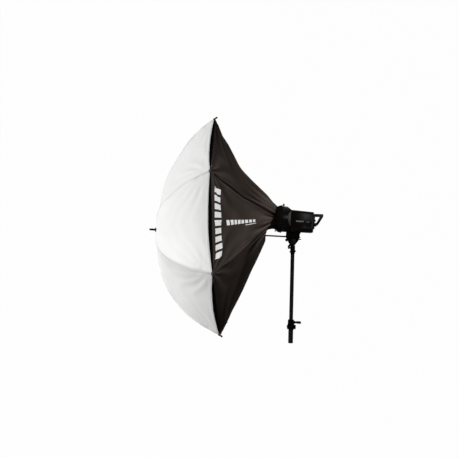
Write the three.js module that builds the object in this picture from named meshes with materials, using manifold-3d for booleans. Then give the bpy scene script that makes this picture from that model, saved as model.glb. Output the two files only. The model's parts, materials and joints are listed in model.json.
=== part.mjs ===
// Folding eight-rib umbrella softbox (octabox) on a studio flash head,
// held by a tilting bracket on the top section of a light stand.
// Millimetres, +Z up, +X towards the back of the flash head, light leaves towards -X.
// Origin: centre of the bottom face of the stand section's spigot plug.
import * as THREE from 'three';
import { mergeVertices } from 'three/addons/utils/BufferGeometryUtils.js';
import Module from 'manifold-3d';

// ---------------------------------------------------------------- driving dimensions
const DEG = Math.PI / 180;
const GAP = 0.3;                         // clearance between neighbouring pieces

// stand section, heights above the origin
const LOWER_R = 12.5, LOWER_WALL = 1.2, LOWER_BOTTOM = 0.5, LOWER_TOP = 104;
const RISER_R = 10.1, RISER_WALL = 1.5, RISER_BOTTOM = 22, RISER_TOP = 503;
const PLUG_R = 11, PLUG_TOP = 16;
const COLLAR_BOTTOM = 72, COLLAR_TOP = 121;
const COLLAR_FACE_X = 13.2;              // lugs stand out from here, front and back
const COLLAR_SCREW_Z = 108;

// bracket: the tilt pivot lies on the column axis; other heights are above the pivot
const PIVOT_Z = 530, REST_TILT = 1.5 * DEG;
const SOCKET_R = 12.6, SOCKET_BOTTOM = 467 - PIVOT_Z, SOCKET_TOP = 506 - PIVOT_Z;
const SOCKET_SCREW_Z = 497 - PIVOT_Z;
const SHAFT_Z = 24;                      // umbrella shaft axis
const SADDLE_Z = 50;                     // seat of the flash head
const CHEEK_R = 18.5, TONGUE_WIDTH = 12;
const TONGUE_SLOT = TONGUE_WIDTH / 2 + 0.5;      // half width of the slot round the tongue
const BOLT_R = 4;

// umbrella frame, measured from the shaft axis
const RIBS = 8;
const SHAFT_R = 4, SHAFT_FRONT = -731, SHAFT_BACK = 38;
const RIM_R = 571.5;                     // rib tip circle: 1143 mm (45 in) across corners
const HEM_R = RIM_R - 6;                 // sewn edge of both fabrics
const CROWN_X = -726.6, DOME_DEPTH = 338.7;
const HINGE_X = CROWN_X + 7, HINGE_R = 12;       // rib root eyes
const RIB_BEHIND = 6, RIB_ROD_R = 1.7;   // ribs lie this far behind the fabric
const RIB_BEND_R = 34;                   // the dome curve of a rib starts here
const RIB_STEPS = 12;
const JOINT_R = 262;                     // stretcher joint circle on the ribs
const STRETCHER_OFFSET = 3.9, STRETCHER_ROD_R = 1.5;
const LEAN = 0.079, LEAN_START = 0.42;   // flex angle at the rim; share of span where it starts
const FABRIC = 1.6;

// rear cover opening
const OPENING_X = -126, OPENING_Z = 82, OPENING_R = 74, OPENING_TILT = 20.7 * DEG;

// flash head, heights above the shaft axis
const BELL_Z = 92, BELL_R = 68, BELL_FRONT = -98;
const BODY_FRONT = -20, BODY_BACK = 97, BODY_BOTTOM = 27, BODY_TOP = 140, BODY_HALF_WIDTH = 54;
const BODY_WALL = 2.4, BODY_CORNER_R = 15;
const ROOF_FALL = 6.5;                   // the roof drops this much to the rear
const BELL_BACK = BODY_FRONT - GAP;
const PANEL_X = BODY_BACK - 2;           // rear face of the rear panel
const LATCH_X = -57;
const DIAL_Y = 30, DIAL_Z = 54;
const BUTTON_Y = -34, BUTTON_Z = 88;
const SENSOR_Z = 92;

const wasm = await Module();
wasm.setup();

// ---------------------------------------------------------------- helpers
const vec = (x, y, z) => new THREE.Vector3(x, y, z);
const times = (count, make) => Array.from({ length: count }, (_, i) => make(i));
const closed = points => [...points, points[0]];
const { clamp, smoothstep } = THREE.MathUtils;

const BACK = vec(1, 0, 0), FRONT = vec(-1, 0, 0), ACROSS = vec(0, 1, 0), DOWN = vec(0, 0, -1);

// point on a circle about an axis parallel to X; angle runs from +Y to +Z
const polar = (x, radius, angle, centreZ = 0) =>
  vec(x, radius * Math.cos(angle), centreZ + radius * Math.sin(angle));

// merge coincident vertices so that the surface is connected
function weld(geo) {
  const bare = geo.clone();
  bare.deleteAttribute('normal');
  bare.deleteAttribute('uv');
  return mergeVertices(bare, 1e-4);
}

function toSolid(geo) {
  const welded = weld(geo);
  const source = welded.index.array, triangles = [];
  for (let i = 0; i < source.length; i += 3) {
    const [a, b, c] = [source[i], source[i + 1], source[i + 2]];
    if (a !== b && b !== c && a !== c) triangles.push(a, b, c);
  }
  return new wasm.Manifold(new wasm.Mesh({
    numProp: 3,
    vertProperties: new Float32Array(welded.attributes.position.array),
    triVerts: new Uint32Array(triangles),
  }));
}

function indexedGeometry(positions, indices) {
  const geo = new THREE.BufferGeometry();
  geo.setAttribute('position', new THREE.BufferAttribute(new Float32Array(positions), 3));
  geo.setIndex(new THREE.BufferAttribute(new Uint32Array(indices), 1));
  return geo;
}

function toGeometry(solid) {
  const mesh = solid.getMesh();
  const geo = indexedGeometry(mesh.vertProperties, mesh.triVerts);
  geo.computeVertexNormals();
  return geo;
}

const clean = geo => toGeometry(toSolid(geo));
const join = (first, ...others) =>
  toGeometry(others.reduce((sum, geo) => sum.add(toSolid(geo)), toSolid(first)));
const cut = (body, ...tools) =>
  toGeometry(tools.reduce((rest, geo) => rest.subtract(toSolid(geo)), toSolid(body)));

// flip the triangles if the surface is inside out
function faceOutward(geo) {
  const position = geo.attributes.position, index = geo.index.array;
  const corner = i => vec(0, 0, 0).fromBufferAttribute(position, index[i]);
  let volume = 0;
  for (let i = 0; i < index.length; i += 3) {
    volume += corner(i).dot(corner(i + 1).cross(corner(i + 2)));
  }
  if (volume < 0) {
    const flipped = [];
    for (let i = 0; i < index.length; i += 3) flipped.push(index[i], index[i + 2], index[i + 1]);
    geo.setIndex(flipped);
  }
  geo.computeVertexNormals();
  return geo;
}

// cylinder or cone along +Z
function rod(radius, z0, z1, { sides, topRadius = radius } = {}) {
  const defaultSides = radius < 3.5 ? 8 : radius < 8 ? 12 : 24;
  const geo = new THREE.CylinderGeometry(topRadius, radius, z1 - z0, sides ?? defaultSides);
  geo.rotateX(Math.PI / 2);
  return geo.translate(0, 0, (z0 + z1) / 2);
}

// turn +Z onto a direction, then move the origin to a point
function aim(geo, direction, origin = vec(0, 0, 0)) {
  const turn = new THREE.Quaternion()
    .setFromUnitVectors(vec(0, 0, 1), direction.clone().normalize());
  geo.applyMatrix4(new THREE.Matrix4().makeRotationFromQuaternion(turn));
  return geo.translate(origin.x, origin.y, origin.z);
}

// revolve [x, radius] pairs about X
function revolveX(profile, sides) {
  const points = profile.map(([x, radius]) => new THREE.Vector2(radius, x));
  return faceOutward(new THREE.LatheGeometry(points, sides).rotateZ(-Math.PI / 2));
}

// revolve [radius, z] pairs about Z
function revolveZ(profile, sides) {
  const points = profile.map(([radius, z]) => new THREE.Vector2(radius, z));
  return faceOutward(new THREE.LatheGeometry(points, sides).rotateX(Math.PI / 2));
}

function box([x0, x1], [y0, y1], [z0, z1]) {
  const geo = new THREE.BoxGeometry(x1 - x0, y1 - y0, z1 - z0);
  return geo.translate((x0 + x1) / 2, (y0 + y1) / 2, (z0 + z1) / 2);
}

// outline of a rectangle with rounded corners, as [x, y] pairs
function roundRect([x0, x1], [y0, y1], radius, steps) {
  const centres = [
    [x1 - radius, y1 - radius], [x0 + radius, y1 - radius],
    [x0 + radius, y0 + radius], [x1 - radius, y0 + radius],
  ];
  return centres.flatMap(([x, y], quarter) => times(steps + 1, i => {
    const angle = (quarter + i / steps) * Math.PI / 2;
    return [x + radius * Math.cos(angle), y + radius * Math.sin(angle)];
  }));
}

// extrude an XY outline along Z; the bevel stays inside the outline and the z range
function extrudeZ(outline, [z0, z1], bevel = 0, bevelSegments = 2) {
  const shape = new THREE.Shape(outline.map(([x, y]) => new THREE.Vector2(x, y)));
  const geo = new THREE.ExtrudeGeometry(shape, {
    depth: z1 - z0 - 2 * bevel, bevelEnabled: bevel > 0, bevelThickness: bevel,
    bevelSize: bevel, bevelOffset: -bevel, bevelSegments, steps: 1,
  });
  return geo.translate(0, 0, z0 + bevel);
}

// extrude a YZ outline along X
const extrudeX = (outline, range) => extrudeZ(outline, range)
  .applyMatrix4(new THREE.Matrix4().makeBasis(ACROSS, vec(0, 0, 1), BACK));

// extrude an XZ outline along Y
const extrudeY = (outline, [y0, y1], bevel) => extrudeZ(outline, [-y1, -y0], bevel)
  .applyMatrix4(new THREE.Matrix4().makeBasis(BACK, vec(0, 0, 1), vec(0, -1, 0)));

// round rod swept through points, with flat ends
function sweep(points, radius, sides) {
  const count = points.length, positions = [], indices = [];
  let up = null;
  for (let i = 0; i < count; i++) {
    const tangent = points[Math.min(i + 1, count - 1)].clone()
      .sub(points[Math.max(i - 1, 0)]).normalize();
    if (!up) up = Math.abs(tangent.z) < 0.9 ? vec(0, 0, 1) : vec(0, 1, 0);
    const side = tangent.clone().cross(up).normalize();
    up = side.clone().cross(tangent).normalize();
    for (let k = 0; k < sides; k++) {
      const angle = (k / sides) * 2 * Math.PI;
      const point = points[i].clone()
        .addScaledVector(up, radius * Math.cos(angle))
        .addScaledVector(side, radius * Math.sin(angle));
      positions.push(...point);
    }
  }
  for (let i = 0; i < count - 1; i++) {
    for (let k = 0; k < sides; k++) {
      const a = i * sides + k, b = i * sides + (k + 1) % sides;
      indices.push(a, b, a + sides, b, b + sides, a + sides);
    }
  }
  const last = (count - 1) * sides;
  for (let k = 1; k < sides - 1; k++) {
    indices.push(0, k + 1, k);
    indices.push(last, last + k, last + k + 1);
  }
  return faceOutward(indexedGeometry(positions, indices));
}

// tube-like sheet with thickness between two grids of points, grid[row][step round]
function sheet(outer, inner) {
  const rows = outer.length, around = outer[0].length, indices = [];
  const positions = [...outer, ...inner].flat().flatMap(point => [...point]);
  const out = (i, k) => i * around + (k % around);
  const inn = (i, k) => rows * around + out(i, k);
  const quad = (a, b, c, d) => indices.push(a, b, c, c, b, d);
  for (let i = 0; i < rows - 1; i++) {
    for (let k = 0; k < around; k++) {
      quad(out(i, k), out(i + 1, k), out(i, k + 1), out(i + 1, k + 1));
      indices.push(inn(i, k), inn(i, k + 1), inn(i + 1, k));
      indices.push(inn(i, k + 1), inn(i + 1, k + 1), inn(i + 1, k));
    }
  }
  const end = rows - 1;
  for (let k = 0; k < around; k++) {
    indices.push(out(0, k), out(0, k + 1), inn(0, k));
    indices.push(out(0, k + 1), inn(0, k + 1), inn(0, k));
    quad(out(end, k), inn(end, k), out(end, k + 1), inn(end, k + 1));
  }
  return faceOutward(indexedGeometry(positions, indices));
}

// thumb screw along +Z: shank plus a head given as [radius, z] pairs off the axis
function thumbScrew([shank0, shank1], head) {
  const profile = [[0, head[0][1]], ...head, [0, head.at(-1)[1]]];
  return join(rod(2.1, shank0, shank1), revolveZ(profile, 12));
}

// ---------------------------------------------------------------- materials
const finish = options => new THREE.MeshStandardMaterial(options);
const material = {
  whiteFabric: finish({ color: 0xf1f1f0, roughness: 0.85, metalness: 0 }),
  coverFabric: finish({ color: 0x34312f, roughness: 0.7, metalness: 0 }),
  webbing: finish({ color: 0x161616, roughness: 0.8, metalness: 0 }),
  steel: finish({ color: 0x8c8f92, roughness: 0.35, metalness: 1 }),
  blackMetal: finish({ color: 0x141414, roughness: 0.45, metalness: 0.4 }),
  plastic: finish({ color: 0x171514, roughness: 0.35, metalness: 0 }),
  matte: finish({ color: 0x1b1b1b, roughness: 0.6, metalness: 0 }),
  knob: finish({ color: 0x101010, roughness: 0.5, metalness: 0 }),
  mirror: finish({ color: 0xd8d8d8, roughness: 0.15, metalness: 1 }),
  glass: finish({ color: 0xe8e6dc, roughness: 0.1, metalness: 0 }),
  board: finish({ color: 0x1f4a2a, roughness: 0.6, metalness: 0 }),
  red: finish({ color: 0x8a1410, roughness: 0.4, metalness: 0 }),
  blue: finish({ color: 0x20406a, roughness: 0.4, metalness: 0 }),
};

// ---------------------------------------------------------------- groups
function addGroup(parent, z) {
  const group = new THREE.Group();
  group.position.set(0, 0, z);
  parent.add(group);
  return group;
}

function put(parent, name, geo, surface) {
  const mesh = new THREE.Mesh(geo, surface);
  mesh.name = name;
  parent.add(mesh);
}

const root = new THREE.Group();
const tilted = addGroup(root, PIVOT_Z);          // bracket head, flash head and umbrella
tilted.rotation.y = REST_TILT;
const umbrella = addGroup(tilted, SHAFT_Z);      // its X axis is the shaft axis
const head = addGroup(tilted, SHAFT_Z);
const base = addGroup(root, PIVOT_Z);

// ---------------------------------------------------------------- stand section
function basePlug() {
  return revolveZ([
    [0, 0], [8.5, 0], [PLUG_R - 0.3, 2], [PLUG_R, 3], [PLUG_R, PLUG_TOP], [0, PLUG_TOP],
  ], 24);
}

function lowerTube() {
  const bore = LOWER_R - LOWER_WALL;
  return revolveZ(closed([
    [bore, LOWER_BOTTOM], [LOWER_R, LOWER_BOTTOM], [LOWER_R, LOWER_TOP], [bore, LOWER_TOP],
  ]), 28);
}

function riserTube() {
  const bore = RISER_R - RISER_WALL, chamfer = 0.6;
  return revolveZ(closed([
    [bore, RISER_BOTTOM], [RISER_R, RISER_BOTTOM], [RISER_R, RISER_TOP - chamfer],
    [RISER_R - chamfer, RISER_TOP], [bore, RISER_TOP],
  ]), 28);
}

// moulded clamp collar: stepped body, slit ear and screw boss behind, pad in front
function lockCollar() {
  const body = revolveZ([
    [0, COLLAR_BOTTOM], [18.6, COLLAR_BOTTOM], [19.6, COLLAR_BOTTOM + 2], [19.2, 86],
    [17.6, 96], [16.6, 99], [16.2, COLLAR_TOP - 2], [14.8, COLLAR_TOP], [0, COLLAR_TOP],
  ], 20);
  const ear = box([COLLAR_FACE_X, 25], [-7, 7], [74, 94]);
  const boss = aim(rod(7.5, 0, 9), BACK, vec(COLLAR_FACE_X, 0, COLLAR_SCREW_Z));
  const frontPad = box([-21, -COLLAR_FACE_X], [-5, 5], [78, 92]);
  const screwBore = aim(rod(3.1, -3, 14), BACK, vec(13, 0, COLLAR_SCREW_Z));
  const slit = box([13, 26], [-0.8, 0.8], [73, 95]);
  const lowerRoom = rod(LOWER_R + GAP, 60, LOWER_TOP + GAP);
  const riserRoom = rod(RISER_R + GAP, 60, 130);
  return cut(join(body, ear, boss, frontPad), lowerRoom, riserRoom, screwBore, slit);
}

// T screw of the collar: shank, neck and a two-winged bar
function collarKnob() {
  const wings = [
    [-5, -13], [-3.2, -16], [3.2, -16], [5, -13], [6, -4], [6, 4],
    [5, 13], [3.2, 16], [-3.2, 16], [-5, 13], [-6, 4], [-6, -4],
  ];
  const neck = rod(5, 9.6, 15, { topRadius: 4.2 });
  const screw = join(rod(2.7, 0, 14), neck, extrudeZ(wings, [14.6, 37.6], 2));
  return aim(screw, BACK, vec(COLLAR_FACE_X, 0, COLLAR_SCREW_Z));
}

put(root, 'base_plug', basePlug(), material.matte);
put(root, 'lower_tube', lowerTube(), material.blackMetal);
put(root, 'riser_tube', riserTube(), material.blackMetal);
put(root, 'lock_collar', lockCollar(), material.matte);
put(root, 'collar_knob', collarKnob(), material.knob);

// ---------------------------------------------------------------- bracket
const SHAFT_SCREW_DIRECTION = vec(-0.8, 0, -0.6);        // forward and down
const SHAFT_SCREW_START = vec(-13.5, 0, SHAFT_Z - 3);

// socket over the riser, neck and the tongue of the tilt joint
function bracketBase() {
  const socket = revolveZ([
    [0, SOCKET_BOTTOM], [SOCKET_R, SOCKET_BOTTOM], [SOCKET_R, SOCKET_TOP],
    [SOCKET_R - 1, SOCKET_TOP + 3], [0, SOCKET_TOP + 3],
  ], 24);
  const half = TONGUE_WIDTH / 2;
  const tongue = aim(rod(CHEEK_R - 1, -half, half), ACROSS);
  const neck = box([-10.5, 10.5], [-half, half], [SOCKET_TOP + 1, -8]);
  const screwBoss = aim(rod(5, 9, 15.5), FRONT, vec(0, 0, SOCKET_SCREW_Z));
  const rearBoss = aim(rod(3.4, 11, 17.5), BACK, vec(0, 0, 480 - PIVOT_Z));
  const lowerBoss = aim(rod(3.2, 11, 16.5), FRONT, vec(0, 0, 476 - PIVOT_Z));
  const boltBore = aim(rod(BOLT_R + GAP, -10, 10), ACROSS);
  const screwBore = aim(rod(2.4, 8, 20), FRONT, vec(0, 0, SOCKET_SCREW_Z));
  const riserRoom = rod(RISER_R + GAP, SOCKET_BOTTOM - 5, RISER_TOP - PIVOT_Z + GAP);
  return cut(join(socket, neck, tongue, screwBoss, rearBoss, lowerBoss),
    boltBore, screwBore, riserRoom);
}

function baseKnob() {
  const screw = thumbScrew([10.8, 18], [[4.2, 16], [6, 17.5], [6.4, 22], [5, 25]]);
  return aim(screw, FRONT, vec(0, 0, SOCKET_SCREW_Z));
}

// head block: saddle under the flash head, shaft bore, two cheeks of the tilt joint
function bracketHead() {
  // side outline, [x, z]
  const outline = [
    [-36.5, SADDLE_Z - GAP], [-37.5, 30], [-37, 22], [-33.5, 12], [-23.5, -2], [-18.6, -11],
    [-14, -15.4], [-8, -18.6], [0, -19.8], [7, -18.6], [13, -15.2], [17, -9.4],
    [19.6, -5.2], [24.4, 1], [28.6, 8], [31.4, 17], [32.4, 30], [34, 41],
    [38.5, SADDLE_Z - GAP],
  ];
  // stop stub on the back of the block, [radius, distance along X]
  const stubProfile = [[0, 26], [2.9, 26], [2.9, 40], [2.2, 41.5], [0, 41.5]];
  const stub = aim(revolveZ(stubProfile, 14), BACK, vec(0, 0, 13.4));
  const block = join(extrudeY(outline, [-17.5, 17.5], 1.2), stub);
  const slot = aim(rod(CHEEK_R + 0.8, -TONGUE_SLOT, TONGUE_SLOT), ACROSS);
  // the slot stays open over the whole tilt range
  const tiltRoom = extrudeY(
    [[0, 0], [-48, -4], [-48, -60], [48, -60], [48, -14], [18.8, 2]],
    [-TONGUE_SLOT, TONGUE_SLOT]);
  const shaftBore = aim(rod(SHAFT_R + 0.4, -60, 60), BACK, vec(0, 0, SHAFT_Z));
  const boltBore = aim(rod(BOLT_R + GAP, -20, 20), ACROSS);
  const screwBore = aim(rod(2.5, -1, 40), SHAFT_SCREW_DIRECTION, SHAFT_SCREW_START);
  return cut(block, slot, tiltRoom, shaftBore, boltBore, screwBore);
}

function umbrellaKnob() {
  const screw = thumbScrew([0, 18], [[4.4, 17], [6.6, 18.5], [7, 23.5], [5.4, 26.5]]);
  const start = SHAFT_SCREW_START.clone().addScaledVector(SHAFT_SCREW_DIRECTION, 4.6);
  return aim(screw, SHAFT_SCREW_DIRECTION, start);
}

// pivot bolt with a domed disc head on the -Y side
function tiltBolt() {
  return aim(revolveZ([
    [0, -24.5], [11, -24.5], [14.6, -22.4], [15.4, -20], [15.4, -17.9],
    [BOLT_R, -17.9], [BOLT_R, 30], [0, 30],
  ], 28), ACROSS);
}

// locking lever on the +Y side
function tiltLever() {
  const bore = BOLT_R + GAP;
  const hub = revolveZ(closed([[bore, 18], [11.5, 18], [12, 20], [11, 27], [bore, 27]]), 24);
  const arm = extrudeZ(roundRect([-5, 5], [6, 38.5], 4.6, 3), [20, 27], 1, 1);
  const lever = cut(join(hub, arm), rod(bore, 10, 40));
  // local Z turns to +Y, the arm points down and forward; the basis mirrors the lever
  lever.applyMatrix4(new THREE.Matrix4()
    .makeBasis(vec(-0.82, 0, 0.57), vec(-0.57, 0, -0.82), ACROSS));
  return faceOutward(lever);
}

put(base, 'bracket_base', bracketBase(), material.matte);
put(base, 'base_knob', baseKnob(), material.knob);
put(tilted, 'bracket_head', bracketHead(), material.matte);
put(tilted, 'umbrella_knob', umbrellaKnob(), material.knob);
put(tilted, 'tilt_bolt', tiltBolt(), material.blackMetal);
put(tilted, 'tilt_lever', tiltLever(), material.knob);

// ---------------------------------------------------------------- flash head
// rounded block of the body, shrunk by an inset, with the upper half falling to the rear
function bodyBlock(inset, xRange) {
  const halfWidth = BODY_HALF_WIDTH - inset;
  const outline = roundRect([-halfWidth, halfWidth], [BODY_BOTTOM + inset, BODY_TOP - inset],
    BODY_CORNER_R - inset, 4);
  const geo = extrudeX(outline, xRange);
  const position = geo.getAttribute('position'), middle = (BODY_BOTTOM + BODY_TOP) / 2;
  for (let i = 0; i < position.count; i++) {
    const z = position.getZ(i);
    if (z <= middle) continue;
    const rearward = (position.getX(i) - BODY_FRONT) / (BODY_BACK - BODY_FRONT);
    position.setZ(i, z - ROOF_FALL * rearward * Math.min(1, (z - middle) / 40));
  }
  return geo;
}

function lampHousing() {
  const outer = bodyBlock(0, [BODY_FRONT, BODY_BACK]);
  const inner = bodyBlock(BODY_WALL, [BODY_FRONT - 5, BODY_BACK + 5]);
  const rearTop = BODY_TOP - ROOF_FALL;
  const chamfer = extrudeY([
    [BODY_BACK - 4.5, rearTop + 2], [BODY_BACK + 5, rearTop + 2], [BODY_BACK + 5, rearTop - 7.5],
  ], [-70, 70]);
  const coolingSlots = times(6, i => box([60 + i * 5, 62.4 + i * 5], [-70, 70], [50, 76]));
  return cut(outer, inner, chamfer, ...coolingSlots);
}

// round shroud; slanted flats at its back run into the sides and top of the square body
function frontBell() {
  const bell = revolveX(closed([
    [BELL_FRONT, 52], [-93, 60.5], [-82, 66.5], [-70, BELL_R], [BELL_BACK, BELL_R],
    [BELL_BACK, 44], [BODY_FRONT - 4, 52], [-46, 63], [-52, 65], [-70, 65],
    [-82, 63.6], [-91, 58], [BELL_FRONT + 1.5, 50.5],
  ]), 24).translate(0, 0, BELL_Z);
  const latchHole = rod(3.3, 50, 200).translate(LATCH_X, 0, 0);
  const seat = box([-38, BODY_FRONT], [-90, 90], [-60, SADDLE_Z - SHAFT_Z]);
  const roof = extrudeY([
    [-41, BELL_Z + BELL_R + 0.6], [BODY_FRONT, BODY_TOP], [BODY_FRONT, 240], [-41, 240],
  ], [-90, 90]);
  const flats = [-1, 1].map(side => extrudeZ([
    [-38, side * 68.6], [BODY_FRONT, side * BODY_HALF_WIDTH],
    [BODY_FRONT, side * 90], [-38, side * 90],
  ], [-60, 240]));
  return cut(bell, latchHole, seat, roof, ...flats);
}

// spring latch pin of the accessory mount, [radius, height above the top of the bell]
function latchPin() {
  return revolveZ([
    [0, -6.5], [2.9, -6.5], [2.9, 2.5], [4.6, 3.4], [5, 11], [3.8, 12.6], [0, 12.6],
  ], 14).translate(LATCH_X, 0, BELL_Z + BELL_R);
}

// reflector with a central lamp opening
function reflectorDish() {
  return revolveX(closed([
    [-84, 59], [-64, 54], [-42, 40], [-32, 20], [-32, 17],
    [-30.6, 17], [-30.4, 20.6], [-40.8, 41.2], [-63.4, 55.4], [-84, 60.4],
  ]), 24).translate(0, 0, BELL_Z);
}

// ring tube on two legs, open at the bottom
function flashTube() {
  const steps = 22, halfOpening = 0.16;
  const ring = times(steps + 1, i => {
    const angle = -Math.PI / 2 + halfOpening + (i / steps) * 2 * (Math.PI - halfOpening);
    return polar(-58, 13.5, angle, BELL_Z);
  });
  const leg = ({ y, z }) => [-26, -46, -55].map(x => vec(x, y, z));
  return clean(sweep([...leg(ring[0]), ...ring, ...leg(ring[steps]).reverse()], 2, 6));
}

function modellingLamp() {
  const bulb = revolveX([
    [-24, 0], [-24, 5.6], [-34, 5.6], [-38, 6.2], [-50, 8],
    [-60, 8.6], [-68, 7.4], [-72, 4], [-73, 0],
  ], 20).translate(0, 0, BELL_Z);
  return faceOutward(weld(bulb));
}

function rearPanel() {
  const halfWidth = BODY_HALF_WIDTH - 3;
  const outline = roundRect([-halfWidth, halfWidth], [BODY_BOTTOM + 3, BODY_TOP - 10], 12, 4);
  const panel = extrudeX(outline, [BODY_BACK - 6, PANEL_X]);
  const hole = (radius, y, z) => aim(rod(radius, -20, 20), BACK, vec(BODY_BACK, y, z));
  const switchHole = box([BODY_BACK - 12, BODY_BACK + 6], [-6.4, 6.4], [40, 60]);
  return cut(panel, hole(3.3, -DIAL_Y, DIAL_Z), hole(3.3, DIAL_Y, DIAL_Z), switchHole,
    hole(4.3, BUTTON_Y, BUTTON_Z), hole(7.3, 0, SENSOR_Z));
}

// dial with a spindle and a raised bar pointing to +Y
function dial(y) {
  const cap = revolveZ([[0, 0.5], [9.4, 0.5], [10, 1.2], [9.2, 9], [7.8, 10], [0, 10]], 24);
  const pointer = box([-0.9, 0.9], [3, 9.6], [3, 11]);
  return aim(join(rod(3, -8, 2), cap, pointer), BACK, vec(PANEL_X, y, DIAL_Z));
}

function powerSwitch() {
  return extrudeY([
    [BODY_BACK - 8, 41], [BODY_BACK - 8, 59], [BODY_BACK - 0.5, 59],
    [BODY_BACK + 1.6, 50], [BODY_BACK - 1.2, 41],
  ], [-6, 6], 0.3);
}

function testButton() {
  const profile = [[0, -8], [5.4, -8], [5.4, -6.4], [3.9, -6.4], [3.9, 4], [3, 5], [0, 5]];
  return aim(revolveZ(profile, 18), BACK, vec(PANEL_X, BUTTON_Y, BUTTON_Z));
}

function slaveSensor() {
  const profile = [[0, -10], [6.9, -10], [6.9, 11], [6.2, 15.4], [3.8, 19], [0, 20.4]];
  return aim(revolveZ(profile, 20), BACK, vec(PANEL_X, 0, SENSOR_Z));
}

// triangular grab loop fixed to the rear of the body
function rearHandle() {
  const loop = extrudeY([
    [99, 127], [148, 128], [152.5, 124], [151, 113],
    [128, 72], [116, 61], [101, 60], [99, 62],
  ], [-10.5, 10.5], 2.4);
  const eye = extrudeY([[109, 112], [135, 113], [121, 84], [109, 78]], [-20, 20]);
  const sensorRoom = aim(rod(8.6, 0, 24.5, { sides: 20 }), BACK, vec(PANEL_X, 0, SENSOR_Z));
  const panelRoom = box([90, PANEL_X + GAP], [-30, 30], [40, 140]);
  const rimRoom = box([90, BODY_BACK + GAP], [-30, 30], [BODY_TOP - 10.6, 150]);
  return cut(loop, eye, sensorRoom, panelRoom, rimRoom);
}

put(head, 'lamp_housing', lampHousing(), material.plastic);
put(head, 'front_bell', frontBell(), material.plastic);
put(head, 'latch_pin', latchPin(), material.blackMetal);
put(head, 'reflector_dish', reflectorDish(), material.mirror);
put(head, 'flash_tube', flashTube(), material.glass);
put(head, 'modelling_lamp', modellingLamp(), material.glass);
put(head, 'capacitor', aim(rod(24, 0, 60), BACK, vec(-8, 22, 62)), material.blue);
put(head, 'control_board', box([-10, 78], [-44, -42.4], [40, 128]), material.board);
put(head, 'rear_panel', rearPanel(), material.matte);
put(head, 'power_dial', dial(-DIAL_Y), material.knob);
put(head, 'modelling_dial', dial(DIAL_Y), material.knob);
put(head, 'power_switch', powerSwitch(), material.red);
put(head, 'test_button', testButton(), material.red);
put(head, 'slave_sensor', slaveSensor(), material.glass);
put(head, 'rear_handle', rearHandle(), material.plastic);

// ---------------------------------------------------------------- umbrella shape
const SPAN = Math.hypot(RIM_R, DOME_DEPTH);
const CONE_SHARE = 0.25;                 // linear part of the dome curve, the rest is cubic
const RIM_FULLNESS = 6.5;                // bulge near the rim, all round
const TOP_FULLNESS = 17;                 // bulge over the upper half
const BULGE_FORWARD = 0.75, BULGE_OUTWARD = 0.66;        // direction of the bulge
const RIB_FOLLOW = 0.85;                 // share of the bulge taken up by the ribs

const ribAngle = i => (22.5 + 45 * i) * DEG;

// distance of the dome behind the crown
function domeDepth(radius) {
  const share = radius / RIM_R;
  return DOME_DEPTH * (CONE_SHARE * share + (1 - CONE_SHARE) * share ** 3);
}

// blended rotation about the crown: the top of the rim leans forward, the bottom back
function flex(point) {
  const dx = point.x - CROWN_X, { y, z } = point;
  const weight = smoothstep(Math.hypot(dx, y, z) / SPAN, LEAN_START, 1);
  const cos = Math.cos(LEAN), sin = Math.sin(LEAN);
  return vec(point.x + (dx * cos - z * sin - dx) * weight, y,
    z + (z * cos + dx * sin - z) * weight);
}

function fullness(radius, angle) {
  const share = radius / RIM_R;
  const nearRim = Math.sin(Math.PI * clamp((share - 0.7) / 0.3, 0, 1));
  const midway = Math.sin(Math.PI * clamp(share - 0.04, 0, 1)) ** 2;
  return RIM_FULLNESS * nearRim + TOP_FULLNESS * Math.max(0, Math.sin(angle)) * midway;
}

const bulged = (x, radius, angle, bulge) =>
  polar(x - BULGE_FORWARD * bulge, radius + BULGE_OUTWARD * bulge, angle);

// fabric point before flexing; even half gores lie on a rib, odd ones midway between two
function domePoint(radius, halfGore, behind = 0) {
  const onRib = i => bulged(CROWN_X + domeDepth(radius) + behind, radius, ribAngle(i),
    fullness(radius, ribAngle(i)));
  const rib = Math.floor(halfGore / 2);
  return onRib(rib).lerp(onRib(rib + 1), halfGore / 2 - rib);
}

// ---------------------------------------------------------------- umbrella frame
const JOINT_X = CROWN_X + domeDepth(JOINT_R) + RIB_BEHIND;
// stretchers are as long as the distance from rib root to joint, so their feet mirror the roots
const RUNNER_X = 2 * JOINT_X - HINGE_X;
const RUNNER_SCREW_X = RUNNER_X + 60;

function umbrellaShaft() {
  return revolveX([
    [SHAFT_FRONT, 0], [SHAFT_FRONT, SHAFT_R], [SHAFT_BACK - 1, SHAFT_R],
    [SHAFT_BACK, SHAFT_R - 1], [SHAFT_BACK, 0],
  ], 16);
}

function frontFerrule() {
  return revolveX([
    [-766, 0], [-766, 3.4], [-764.8, 4.8], [-752, 5.2],
    [-736, 5.4], [-733.6, 11.5], [-731.9, 12], [-731.9, 0],
  ], 20);
}

// copies of a slot cutter made at +Z, one turned to each rib
const ribSlots = makeSlot =>
  times(RIBS, i => makeSlot().rotateX(ribAngle(i) - Math.PI / 2));

// hub fixed on the shaft with slots for the rib roots
function crownHub() {
  const bore = SHAFT_R + GAP;
  const hub = revolveX(closed([
    [-723.2, bore], [-721.8, 15.6], [-715.6, 15.6], [-713.5, 13],
    [-711, 9], [-700, 8.4], [-700, bore],
  ]), 24);
  return cut(hub, ...ribSlots(() => box([-740, -710.4], [-2.1, 2.1], [9.1, 40])));
}

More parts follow.
